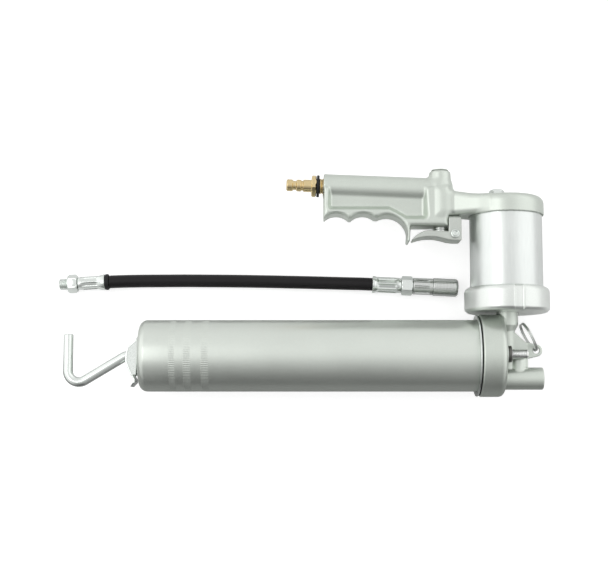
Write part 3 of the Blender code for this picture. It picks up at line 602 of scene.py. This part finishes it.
def trigger_screw():
    space = grid((-0.0042, -0.0042, -0.0134), (0.0042, 0.0042, 0.0126), 0.0002)
    x, y, z = space
    profile = [
        (0, -0.0130), (PIVOT_R, -0.0130), (PIVOT_R, 0.0103), (0.0037, 0.0103), (0.0037, 0.0114),
        (0.0034, 0.0119), (0.0026, 0.0122), (0, 0.0122),
    ]
    body = turned_field(space, "Z", profile)
    off_axis = np.hypot(x, y)
    body = carve(body, meet(span(off_axis, 0.0021, 0.0026), 0.0112 - z), 0.0001)
    slot_turn, slot_half, slot_end, slot_floor = math.radians(70), 0.0005, 0.0018, 0.0108
    across = -x * math.sin(slot_turn) + y * math.cos(slot_turn)
    slot = meet(np.abs(across) - slot_half, off_axis - slot_end)
    body = carve(body, meet(slot, slot_floor - z), 0.0001)
    finish(skin("trigger_screw_detail", space, body, PIVOT), "trigger_screw")
    flats, low, high = 0.0070, -0.0128, -0.0103
    nut = turned(
        "trigger_nut_detail", "Z", nut_profile(flats, low, high, PIVOT_R + GAP), PIVOT,
        hollow=True, section=hexagon(flats, low, high),
    )
    finish(nut, "trigger_nut")


# ---- pump head ------------------------------------------------------------------------------------
def pump_head():
    space = grid((-0.0246, -0.0340, -0.0340), (0.0286, 0.0428, 0.0340), 0.0005)
    x, y, z = space
    shoulder = 0.0046
    profile = [
        (0, HEAD_LEFT), (HEAD_R - 0.0008, HEAD_LEFT), (HEAD_R, HEAD_LEFT + 0.0010),
        (HEAD_R, HEAD_RIGHT - shoulder),
        *arc((HEAD_R - shoulder, HEAD_RIGHT - shoulder), shoulder, 0, 90, 6), (0, HEAD_RIGHT),
    ]
    body = turned_field(space, "X", profile)
    boss_profile = [
        (0, OUTLET_Y), (0.0058, OUTLET_Y), (0.0058, 0.0195), (0.0087, 0.0245), (0.0087, 0.0422), (0, 0.0422),
    ]
    boss = turned_field(space, "Y", boss_profile)
    outlet = bar(space, "X", OUTLET_R, -0.0060, OUTLET_END, (0, OUTLET_Y, 0), 0.0006)
    stub = bar(space, "Y", 0.0072, -0.0180, -0.0030, (0.0078, 0, 0), 0.0005)
    web_outline = [(0, -0.0100), (0.0155, -0.0100), (0.0160, 0.0090), (0.0043, 0.0195), (0, 0.0195)]
    web = meet(outline_field(x, y, web_outline), np.abs(z) - 0.0050, 0.0009)
    ear_outline = [
        (0, 0.0140), (0, -0.0024), (0.0170, -0.0024), *arc(RING_HOLE, 0.0050, -84, 66, 10), (0.0120, 0.0118),
    ]
    ear = meet(outline_field(x, y, ear_outline), np.abs(z) - 0.0014, 0.0006)
    bleed_boss = bar(space, "X", 0.0074, HEAD_RIGHT - 0.001, -0.0021, (0, BLEED[1], BLEED[2]), 0.0003)
    body = weld(body, boss, 0.0012)
    body = weld(body, outlet, 0.0010)
    body = weld(body, stub, 0.0007)
    body = weld(body, web, 0.0007)
    body = weld(body, ear, 0.0006)
    body = weld(body, bleed_boss, 0.0003)

    socket = bar(space, "X", BARREL_R + GAP, -0.05, BARREL_TOP + GAP)
    pump_bore = [
        (0, -0.0170), (0.0043, -0.0170), (0.0043, 0.0255), (0.0065, 0.0255), (0.0065, 0.0450), (0, 0.0450),
    ]
    thread_bore = THREAD_R + 0.0001
    outlet_bore = [
        (0, -0.0030), (0.0026, -0.0030), (0.0026, 0.0060), (thread_bore, 0.0060), (thread_bore, 0.0320),
        (0, 0.0320),
    ]
    body = carve(body, socket, 0.0003)
    body = carve(body, turned_field(space, "Y", pump_bore))
    body = carve(body, turned_field(space, "X", outlet_bore, (0, OUTLET_Y, 0)), 0.0004)
    body = carve(body, bar(space, "X", 0.0040, -0.0120, 0, (0, 0.0030, 0)))
    body = carve(body, bar(space, "Z", 0.0026, -0.004, 0.004, RING_HOLE), 0.0003)
    body = carve(body, bar(space, "X", 0.0026, -0.0100, 0.0010, BLEED))
    finish(skin("pump_head_detail", space, body), "pump_head")


def bleed_screw():
    """The bleed screw's knob is cut with a coarse thread, which shows as dark and bright lines."""
    pitch, depth, knob_r, shank_r, tip, knob_end = 0.0012, 0.0008, 0.0042, 0.0021, -0.0095, 0.0138
    socket_r, socket_floor = 0.0014, 0.0118

    def threaded(angle, radius, along):
        if radius < 0.0040 or not 0.0012 < along < 0.0128:
            return radius
        return radius - thread_cut(angle, along, pitch, depth)

    knob = [(knob_r, 0.0010 + 0.00015 * k) for k in range(80)]
    profile = [
        (0, tip), (shank_r, tip), (shank_r, 0.0009), *knob, (0.0036, knob_end), (socket_r, knob_end),
        (socket_r, socket_floor), (0, socket_floor),
    ]
    item = turned("bleed_screw_detail", "X", profile, BLEED, sides=64, soft=0.0, section=threaded, sharp=50)
    finish(item, "bleed_screw")
    washer = tube("bleed_washer_detail", "X", 0.0027, 0.0067, -0.0018, 0.0006, BLEED)
    finish(washer, "bleed_washer", finish_name="dark_steel")


def swept(name, path, radii, sides=24, place=(0, 0, 0)):
    """A round bar along a path, whose radius may change at each point."""
    points, faces = [], []
    normal = Vector((0, 0, 1))
    for k, (at, radius) in enumerate(zip(path, radii)):
        ahead = path[min(k + 1, len(path) - 1)] - path[max(k - 1, 0)]
        ahead.normalize()
        normal = (normal - ahead * normal.dot(ahead)).normalized()
        side = ahead.cross(normal)
        for j in range(sides):
            angle = math.tau * j / sides
            points.append(at + (normal * math.cos(angle) + side * math.sin(angle)) * radius)
    for k in range(len(path) - 1):
        low, high = k * sides, (k + 1) * sides
        for j in range(sides):
            after = (j + 1) % sides
            faces.append((low + j, low + after, high + after, high + j))
    faces += [tuple(range(sides)), tuple(range((len(path) - 1) * sides, len(path) * sides))]
    return mesh_piece(name, points, faces, place)


def split_ring():
    """Two turns of spring wire lying against each other, its ends half a turn from the ear."""
    steps, wire = 160, 0.00058
    lead = Vector((math.cos(RING_LEAN), math.sin(RING_LEAN), 0))
    across = Vector((-lead.y, lead.x, 0))
    path = []
    for k in range(steps + 1):
        angle = 2 * math.tau * k / steps
        off = (k / steps - 0.5) * 2.1 * 2 * wire
        outward = lead * (RING_R + RING_R * math.cos(angle))
        upward = Vector((0, 0, RING_R * math.sin(angle)))
        path.append(outward + upward + across * off)
    item = swept("split_ring_detail", path, [wire] * len(path), sides=12, place=RING_HOLE)
    finish(item, "split_ring")


# ---- air motor ------------------------------------------------------------------------------------
def air_motor():
    """The base, with one groove in its rim on the upper side, and the cylinder's wall."""
    groove_middle = -math.pi / 2 + math.asin(0.0055 / FLANGE_R)
    groove_half, groove_depth, rim_from = 0.0044 / FLANGE_R, 0.0021, 0.0315

    def grooved(angle, radius, along):
        if radius < rim_from:
            return radius
        off = abs((angle - groove_middle + math.pi) % math.tau - math.pi)
        ease = min(max((groove_half - off) / (0.30 * groove_half), 0), 1)
        return radius - groove_depth * ease * ease * (3 - 2 * ease)

    wall_in, wall_out = CYLINDER_BORE - GAP, CYLINDER_R + GAP
    post_r, post_bottom, base_floor, trench_floor, wall_foot = 0.0090, 0.0425, 0.0480, 0.0510, 0.0530
    profile = [
        (0.0043, post_bottom), (post_r, post_bottom), (post_r, FLANGE_BOTTOM),
        (FLANGE_R - 0.0022, FLANGE_BOTTOM), (FLANGE_R, FLANGE_BOTTOM + 0.0022),
        (FLANGE_R, FLANGE_TOP - 0.0036), (FLANGE_R - 0.0012, FLANGE_TOP - 0.0012),
        (FLANGE_R - 0.0036, FLANGE_TOP), (wall_out, FLANGE_TOP), (wall_out, trench_floor),
        (wall_in, trench_floor), (wall_in, wall_foot), (0.0240, wall_foot), (0.0240, base_floor),
        (0.0072, base_floor), (0.0072, 0.0450), (0.0043, 0.0450),
    ]
    base = turned(
        "cylinder_base_detail", "Y", profile, sides=288, hollow=True, soft=0.0008, section=grooved
    )
    finish(base, "cylinder_base", finish_name="bright_cast")
    wall = tube(
        "motor_cylinder_detail", "Y", CYLINDER_BORE, CYLINDER_R, wall_foot, CAP_BOTTOM + 0.0030, sides=160
    )
    finish(wall, "motor_cylinder")


def oiler_plug():
    across, shank_r, shank_end, seat, top = 0.0110, 0.0034, 0.1255, CAP_TOP + 0.0008, CAP_TOP + 0.0070
    corner = hex_corner(across)
    profile = [
        (0, shank_end), (shank_r, shank_end), (shank_r, seat), (corner, seat), (corner, top - 0.0018),
        (across / 2 - 0.0006, top - 0.0004), (0.0028, top), (0, top),
    ]
    item = turned(
        "oiler_plug_detail", "Y", profile, (-0.0069, 0, 0), soft=0.0005,
        section=hexagon(across, CAP_TOP + 0.0004, top),
    )
    finish(item, "oiler_plug")


def valve_pieces():
    at = (VALVE_X, 0, 0)
    cap_end, cap_seat, cap_top, plug_r, rim_r = 0.1448, 0.1521, 0.1530, 0.0049, 0.0069
    cap = [
        (0, cap_end), (plug_r, cap_end), (plug_r, cap_seat), (rim_r, cap_seat), (rim_r, cap_top - 0.0004),
        (rim_r - 0.0005, cap_top), (0, cap_top),
    ]
    finish(turned("valve_cap_detail", "Y", cap, at), "valve_cap")
    bush = [
        (0.0025, 0.1006), (0.0060, 0.1006), (0.0064, 0.1010), (0.0064, 0.1025), (0.0058, 0.1029),
        (0.0064, 0.1033), (0.0064, BLOCK_BOTTOM - GAP), (0.0051, BLOCK_BOTTOM - GAP), (0.0051, 0.1160),
        (0.0025, 0.1160),
    ]
    finish(turned("valve_bush_detail", "Y", bush, at, hollow=True), "valve_bush")


def air_plug():
    place = (GRIP_LEFT, AIR_Y, 0)
    tip, hex_left, hex_right, inner_end, bore, flats = -0.0304, -0.0098, -0.0058, 0.0101, 0.0030, 0.0170
    corner = hex_corner(flats)
    profile = [
        (bore + 0.0004, tip), (0.0040, tip), (0.0049, tip + 0.0009), (0.0049, tip + 0.0048),
        (0.0038, tip + 0.0058), (0.0038, tip + 0.0078), (0.0049, tip + 0.0088), (0.0049, tip + 0.0118),
        (0.0041, tip + 0.0124), (0.0041, tip + 0.0136), (0.0051, tip + 0.0142), (0.0051, hex_left),
        (flats / 2 - 0.0004, hex_left), (corner, hex_left + 0.0008), (corner, hex_right - 0.0008),
        (flats / 2 - 0.0004, hex_right), (0.0060, hex_right), (0.0060, hex_right + 0.0025),
    ]
    for k in range(6):
        start = hex_right + 0.0031 + 0.0021 * k
        profile += [(0.0063, start), (0.0063, start + 0.0007), (0.0056, start + 0.0013)]
    profile += [(bore, inner_end)]
    item = turned(
        "air_plug_detail", "X", profile, place, hollow=True, soft=0.0002,
        section=hexagon(flats, hex_left - 0.0001, hex_right + 0.0001, turn=15),
    )
    finish(item, "air_plug")
    washer = tube(
        "plug_seal_detail", "X", 0.0066, 0.0090, hex_right + GAP, hex_right + 0.0025, place, soft=0.0007
    )
    finish(washer, "plug_seal")
    item.rotation_euler = washer.rotation_euler = (0, 0, AIR_SLOPE)


# ---- grease barrel --------------------------------------------------------------------------------
KNURLS = [(-0.2700, 0.0050), (-0.2580, 0.0060), (-0.2440, 0.0060)]  # middle and length of each band


def grease_barrel():
    sides, fillet, knurl_depth, every, hair = 480, 0.0065, 0.00017, 4, 1e-6

    def knurled(angle, radius, along):
        """Grooves along the barrel within each band, at every fourth side of the turned shape."""
        if radius < BARREL_R - hair:
            return radius
        cut = any(abs(along - middle) < length / 2 - hair for middle, length in KNURLS)
        groove = round(angle / math.tau * sides) % every == 0
        return radius - knurl_depth if cut and groove else radius

    stations = []
    ramp = 0.0002
    for middle, length in reversed(KNURLS):
        half = length / 2
        stations += [middle + half, middle + half - ramp, middle, middle - half + ramp, middle - half]
    outer = [(BARREL_R, BARREL_TOP)] + [(BARREL_R, x) for x in stations]
    centre = (BARREL_END + fillet, BARREL_R - fillet)
    outer += [(r, x) for x, r in arc(centre, fillet, 90, 180, 8)]
    outer += [(0.0063, BARREL_END), (0.0063, BARREL_END + BARREL_WALL)]
    outer += [(r, x) for x, r in arc(centre, fillet - BARREL_WALL, 180, 90, 5)]
    outer += [(BARREL_R - BARREL_WALL, BARREL_TOP)]
    barrel = turned(
        "barrel_tube_detail", "X", outer, sides=sides, hollow=True, soft=0.0002, section=knurled, sharp=25
    )
    finish(barrel, "barrel_tube")
    collar = tube("barrel_collar_detail", "X", BARREL_R + GAP, 0.0330, -0.0261, -0.0249, sides=160)
    finish(collar, "barrel_collar")
    gasket = tube(
        "barrel_gasket_detail", "X", BARREL_R + GAP, 0.0322, -0.0246, -0.0240, sides=160, soft=0.0001
    )
    finish(gasket, "barrel_gasket")
    flange_x = BARREL_END + BARREL_WALL + GAP
    flange_end, bush_end = flange_x + 0.0015, BARREL_END - 0.0022
    bush_bore, bush_r, flange_r = 0.0043, 0.0060, 0.0090
    bush = [
        (bush_bore, bush_end), (bush_r, bush_end), (bush_r, flange_x), (flange_r, flange_x),
        (flange_r, flange_end), (bush_bore, flange_end),
    ]
    finish(turned("rod_bush_detail", "X", bush, hollow=True), "rod_bush")


def rod_lock_plate():
    """A bent plate with two folded side flanges, hung on the rod."""
    half_wide, half_thick = 0.0100, 0.0007
    middle = [
        (LOCK_X, 0.0146), (LOCK_X - 0.0006, 0.0120), (-0.3033, 0.0090), (-0.3070, 0.0060), (-0.3081, 0.0005),
        (-0.3082, -0.0050), (-0.3052, -0.0125), (-0.3015, -0.0190), (-0.3012, -0.0215), (-0.3042, -0.0252),
    ]
    space = grid((-0.3100, -0.0268, -0.0108), (-0.2968, 0.0158, 0.0108), 0.00035)
    x, y, z = space
    left = [(px - half_thick, py) for px, py in middle]
    right = [(px + half_thick, py) for px, py in reversed(middle)]
    body = meet(outline_field(x, y, left + right), np.abs(z) - half_wide, 0.0003)
    one_side = [(-0.0262, -0.0060), (-0.0222, -half_wide), (0.0126, -half_wide), (0.0146, -0.0080)]
    other_side = [(along, -across) for along, across in reversed(one_side)]
    body = meet(body, outline_field(y, z, one_side + other_side))
    flange = [
        (LOCK_X - 0.0008, 0.0120), (-0.3036, 0.0090), (-0.3070, 0.0060), (-0.3081, 0.0005),
        (-0.3082, -0.0050), (-0.3046, -0.0160), (BARREL_END - 0.0019, -0.0160), (BARREL_END - 0.0008, 0.0110),
    ]
    sides = meet(outline_field(x, y, flange), span(np.abs(z), 0.0088, half_wide), 0.0003)
    body = weld(body, sides, 0.0004)
    body = carve(body, bar(space, "X", 0.0052, -0.32, LOCK_X + 0.0008), 0.0003)
    finish(skin("rod_lock_plate_detail", space, body, sharp=50), "rod_lock_plate")


def rounded_path(corners, radius, steps=14):
    """A line of points through 3-D corners, each inner corner rounded by an arc."""
    path = [corners[0]]
    for before, corner, after in zip(corners, corners[1:], corners[2:]):
        inward = (before - corner).normalized()
        outward = (after - corner).normalized()
        half = inward.angle(outward) / 2
        middle = corner + (inward + outward).normalized() * (radius / math.sin(half))
        first = corner + inward * radius / math.tan(half) - middle
        last = corner + outward * radius / math.tan(half) - middle
        swing = first.angle(last)
        for k in range(steps + 1):
            share = k / steps
            weights = math.sin((1 - share) * swing), math.sin(share * swing)
            path.append(middle + (first * weights[0] + last * weights[1]) / math.sin(swing))
    return path + [corners[-1]]


def pull_rod():
    corners = [
        Vector((-0.0300, 0, 0)), Vector((-0.3095, 0, 0)), Vector((HOOK_X, -0.0282, 0)),
        Vector((HOOK_X, HOOK_TOP, 0)),
    ]
    path = rounded_path(corners, 0.0090)
    chamfer = 0.0006
    end = path.pop()
    path += [end - Vector((0, chamfer, 0)), end]
    start = path.pop(0)
    path = [start, start - Vector((chamfer, 0, 0))] + path
    radii = [ROD_R - chamfer] + [ROD_R] * (len(path) - 2) + [ROD_R - chamfer]
    finish(swept("pull_rod_detail", path, radii, sides=40), "pull_rod")


# ---- delivery hose --------------------------------------------------------------------------------
def smooth_line(route, count):
    """Points evenly counted along a Catmull-Rom curve through the route's points."""
    ends = [2 * route[0] - route[1], *route, 2 * route[-1] - route[-2]]
    line = []
    for k in range(count):
        at = k / (count - 1) * (len(route) - 1)
        step = min(int(at), len(route) - 2)
        t = at - step
        p0, p1, p2, p3 = ends[step:step + 4]
        line.append(
            0.5 * (2 * p1 + (p2 - p0) * t + (2 * p0 - 5 * p1 + 4 * p2 - p3) * t**2
                   + (3 * p1 - p0 - 3 * p2 + p3) * t**3)
        )
    return line


def crimped(start, end, count, depth, turn=0.0):
    """A section pressed into flats between start and end, with ridges left standing between them."""
    flat_share, run_in, smallest = 0.42, 0.0015, 0.0050

    def section(angle, radius, along):
        edge = min(along - start, end - along)
        if edge < 0 or radius < smallest:
            return radius
        part = math.tau / count
        off = ((angle - math.radians(turn)) % part) / part - 0.5
        press = min(edge / run_in, 1) * max(0.0, 1 - (abs(off) / flat_share) ** 4)
        return radius - depth * press

    return section


def hose_fitting(item, place, slope, *nodes):
    item.location = DATUM + Vector((place.x, place.y, place.z - DATUM.z))
    item.rotation_euler = (0, 0, slope)
    return finish(item, *nodes)


def left_fittings(place):
    at = (place, LEFT_SLOPE)
    ring = tube("hose_ring_detail", "X", 0.0030, 0.0067, -0.0034, -GAP, soft=0.0010)
    ferrule = [
        (0.0030, -0.0037), (0.0066, -0.0037), (0.0066, -0.0046), (0.0062, -0.0070), (0.0057, -0.0090),
        *[(0.0056, -0.0100 - 0.0010 * k) for k in range(13)], (0.0052, -0.0245), (0.0050, -0.0262),
        (0.0030, -0.0262),
    ]
    body = turned(
        "inlet_ferrule_detail", "X", ferrule, hollow=True, sides=128,
        section=crimped(-0.0232, -0.0085, 8, 0.0006, turn=-4),
    )
    flats, hex_start, hex_end, bore, tip = 0.0136, -0.0345, -0.0265, 0.0022, -0.0415
    pitch, depth, thread_r = 0.0010, 0.0005, THREAD_R - 0.0003
    corner = hex_corner(flats)
    trimmed = hexagon(flats, hex_start - 0.0001, hex_end + 0.0001, turn=30)

    def hex_and_thread(angle, radius, along):
        if along < hex_start - 0.0002 and radius > 0.0040:
            return radius - thread_cut(angle, along, pitch, depth)
        return trimmed(angle, radius, along)

    nipple = [(bore, tip), (thread_r - 0.0006, tip)]
    nipple += [(thread_r, -0.0410 + 0.00015 * k) for k in range(42)]
    nipple += [
        (thread_r, hex_start - 0.0001), (flats / 2 - 0.0002, hex_start), (corner, hex_start + 0.0012),
        (corner, hex_end - 0.0012), (flats / 2 - 0.0002, hex_end), (bore, hex_end),
    ]
    stem = turned("hose_nipple_detail", "X", nipple, hollow=True, soft=0.0, section=hex_and_thread)
    return [
        hose_fitting(ring, *at, "hose_ring"),
        hose_fitting(body, *at, "inlet_ferrule"),
        hose_fitting(stem, *at, "hose_nipple"),
    ]


def right_fittings(place):
    at = (place, RIGHT_SLOPE)
    ferrule = [
        (0.0030, GAP), (0.0072, GAP), (0.0072, 0.0018), (0.0067, 0.0032),
        *[(0.0066, 0.0042 + 0.0010 * k) for k in range(17)], (0.0063, 0.0225), (0.0060, 0.0240),
        (0.0030, 0.0240),
    ]
    body = turned(
        "outlet_ferrule_detail", "X", ferrule, hollow=True, sides=128,
        section=crimped(0.0040, 0.0208, 8, 0.0008, turn=-4.5),
    )
    flats = 0.0142
    nut = turned(
        "outlet_nut_detail", "X", nut_profile(flats, 0.0243, 0.0338, 0.0030), hollow=True,
        section=hexagon(flats, 0.0242, 0.0339, turn=30),
    )

    def fluted(angle, radius, along):
        edge = min(along - 0.0353, 0.0478 - along)
        if edge < 0 or radius < 0.0060:
            return radius
        part = math.tau / 8
        off = abs((angle - math.radians(8) + part / 2) % part - part / 2) * radius
        return radius - 0.0015 * min(edge / 0.0004, 1) * max(0.0, 1 - (off / 0.0009) ** 4)

    barrel = [
        (0.0030, 0.0341), (0.0066, 0.0341), (0.0070, 0.0345), (0.0070, 0.0352), (0.0070, 0.0357),
        *[(0.0070, 0.0370 + 0.0020 * k) for k in range(5)], (0.0070, 0.0474), (0.0070, 0.0479),
        (0.0070, 0.0505), (0.0060, 0.0505), (0.0060, 0.0560), (0.0046, 0.0560), (0.0046, 0.0380),
        (0.0030, 0.0380),
    ]
    coupler = turned("coupler_body_detail", "X", barrel, hollow=True, sides=192, soft=0.0002, section=fluted)

    knurl_start, knurl_end, knurl_depth, rows_round, lean_per_metre = 0.0530, 0.0672, 0.00018, 20, 1100

    def diamonds(angle, radius, along):
        """A fine diamond knurl: two sets of grooves that lean against each other."""
        edge = min(along - knurl_start, knurl_end - along)
        if edge < 0 or radius < SLEEVE_R - 0.0002:
            return radius
        lean = lean_per_metre * along
        pattern = math.cos(rows_round * angle + lean) * math.cos(rows_round * angle - lean)
        return radius - knurl_depth * (0.5 - 0.5 * pattern) * min(edge / 0.0005, 1)

    knurl = [(SLEEVE_R, knurl_start + 0.0004 * k) for k in range(36)]
    nose = [
        (0.0063, 0.0508), (SLEEVE_R - 0.0003, 0.0508), (SLEEVE_R, 0.0513), *knurl, (SLEEVE_R, 0.0695),
        (SLEEVE_R - 0.0004, 0.0706), (SLEEVE_R - 0.0014, 0.0716), (0.0052, 0.0716), (0.0052, 0.0700),
        (0.0063, 0.0680),
    ]
    sleeve = turned(
        "coupler_sleeve_detail", "X", nose, hollow=True, sides=160, soft=0.0002, section=diamonds, sharp=60
    )
    return [
        hose_fitting(body, *at, "outlet_ferrule"),
        hose_fitting(nut, *at, "outlet_nut"),
        hose_fitting(coupler, *at, "coupler_body"),
        hose_fitting(sleeve, *at, "coupler_sleeve"),
    ]


def delivery_hose():
    route = [Vector((x, y, z)) for x, y, z in HOSE_ROUTE]
    curve = bpy.data.curves.new("hose_tube_detail", "CURVE")
    curve.dimensions = "3D"
    curve.bevel_depth = HOSE_R
    curve.bevel_resolution = 7
    curve.use_fill_caps = True
    line = [Vector((p.x, p.y, p.z - DATUM.z)) for p in smooth_line(route, 90)]
    spline = curve.splines.new("POLY")
    spline.points.add(len(line) - 1)
    for knot, point in zip(spline.points, line):
        knot.co = (*point, 1.0)
    hose = finish(add_object("hose_tube_detail", curve), "hose_tube")
    fittings = left_fittings(route[0]) + right_fittings(route[-1])


# ---- stage ----------------------------------------------------------------------------------------
def studio_world():
    """A white tent that darkens towards the near side (-Y) and brightens to the left and right."""
    world = bpy.data.worlds.new("studio")
    world.use_nodes = True
    nodes, links = world.node_tree.nodes, world.node_tree.links
    way = nodes.new("ShaderNodeSeparateXYZ")
    links.new(nodes.new("ShaderNodeTexCoord").outputs["Generated"], way.inputs["Vector"])
    sideways = calculated(nodes, links, "ABSOLUTE", way.outputs["X"])
    front = ranged(nodes, links, way.outputs["Y"], -1, 0, 0.12, 0.92)
    sides = ranged(nodes, links, sideways, 0.1, 0.75, 0, 0.40, smooth=True)
    total = calculated(nodes, links, "ADD", front, sides)
    links.new(total, nodes["Background"].inputs["Strength"])
    nodes["Background"].inputs["Color"].default_value = WHITE
    bpy.context.scene.world = world
    bpy.context.scene.view_settings.view_transform = "Standard"


def paper():
    """White paper that glows a little where it is seen directly, so that shadows on it stay faint.

    The gun sees it darker on the near side of the barrel: painted shadow, standing for the shadow the gun
    casts there under light from the far side.
    """
    made = bpy.data.materials.new("paper")
    made.use_nodes = True
    nodes, links = made.node_tree.nodes, made.node_tree.links
    shader = nodes["Principled BSDF"]
    shader.inputs["Roughness"].default_value = 0.9
    shader.inputs["Specular IOR Level"].default_value = 0.0
    seen = nodes.new("ShaderNodeLightPath").outputs["Is Camera Ray"]
    shade = nodes.new("ShaderNodeMix")
    shade.data_type = "RGBA"
    shade.inputs["B"].default_value = (0.55, 0.55, 0.55, 1)
    links.new(seen, shade.inputs["Factor"])
    way = nodes.new("ShaderNodeSeparateXYZ")
    links.new(nodes.new("ShaderNodeTexCoord").outputs["Object"], way.inputs["Vector"])
    # painted shadow: as the gun sees it, the paper darkens towards the near side (-Y)
    far = ranged(nodes, links, way.outputs["Y"], -0.300, -0.090, 0.12, 0.36)
    near = ranged(nodes, links, way.outputs["Y"], -0.080, -0.050, 0.0, 0.44, smooth=True)
    painted_floor_shadow = calculated(nodes, links, "ADD", far, near)
    grey = nodes.new("ShaderNodeCombineColor")
    for channel in ("Red", "Green", "Blue"):
        links.new(painted_floor_shadow, grey.inputs[channel])
    links.new(grey.outputs["Color"], shade.inputs["A"])
    links.new(shade.outputs["Result"], shader.inputs["Base Color"])
    shader.inputs["Emission Color"].default_value = WHITE
    links.new(ranged(nodes, links, seen, 0, 1, 0, 0.68), shader.inputs["Emission Strength"])
    return made


def stage():
    """The paper floor, the white tent, and one weak area light for the barrel's highlight."""
    half = 3.0
    corners = [(-half, -half, 0), (half, -half, 0), (half, half, 0), (-half, half, 0)]
    mesh = bpy.data.meshes.new("floor")
    mesh.from_pydata(corners, [], [(0, 1, 2, 3)])
    mesh.materials.append(paper())
    floor = in_scene("floor", mesh)
    studio_world()
    light = bpy.data.lights.new("softbox", "AREA")
    light.shape = "RECTANGLE"
    light.size, light.size_y = 1.1, 0.5
    light.energy = 1.8
    box = in_scene("softbox", light)
    box.location = (-0.62, 0.02, 1.25)
    box.rotation_euler = (Vector((0, 0, 0)) - box.location).to_track_quat("-Z", "Y").to_euler()


def camera():
    elevation, distance = math.radians(83.5), 1.070
    target = Vector((-0.00235, -0.00135, 0.0345))
    lens = bpy.data.cameras.new("camera")
    lens.sensor_width = 36
    lens.lens = 77.7
    item = in_scene("camera", lens)
    item.location = target + distance * Vector((0, -math.cos(elevation), math.sin(elevation)))
    item.rotation_euler = (math.pi / 2 - elevation, 0, 0)
    bpy.context.scene.camera = item


for name, node in frame["nodes"].items():
    node.data.materials.clear()
    node.data.materials.append(LOOKS[SLOT_OF[name]])

camera()
stage()
grip_casting()
trigger()
trigger_screw()
pump_head()
bleed_screw()
split_ring()
air_motor()
oiler_plug()
valve_pieces()
air_plug()
grease_barrel()
rod_lock_plate()
pull_rod()
delivery_hose()
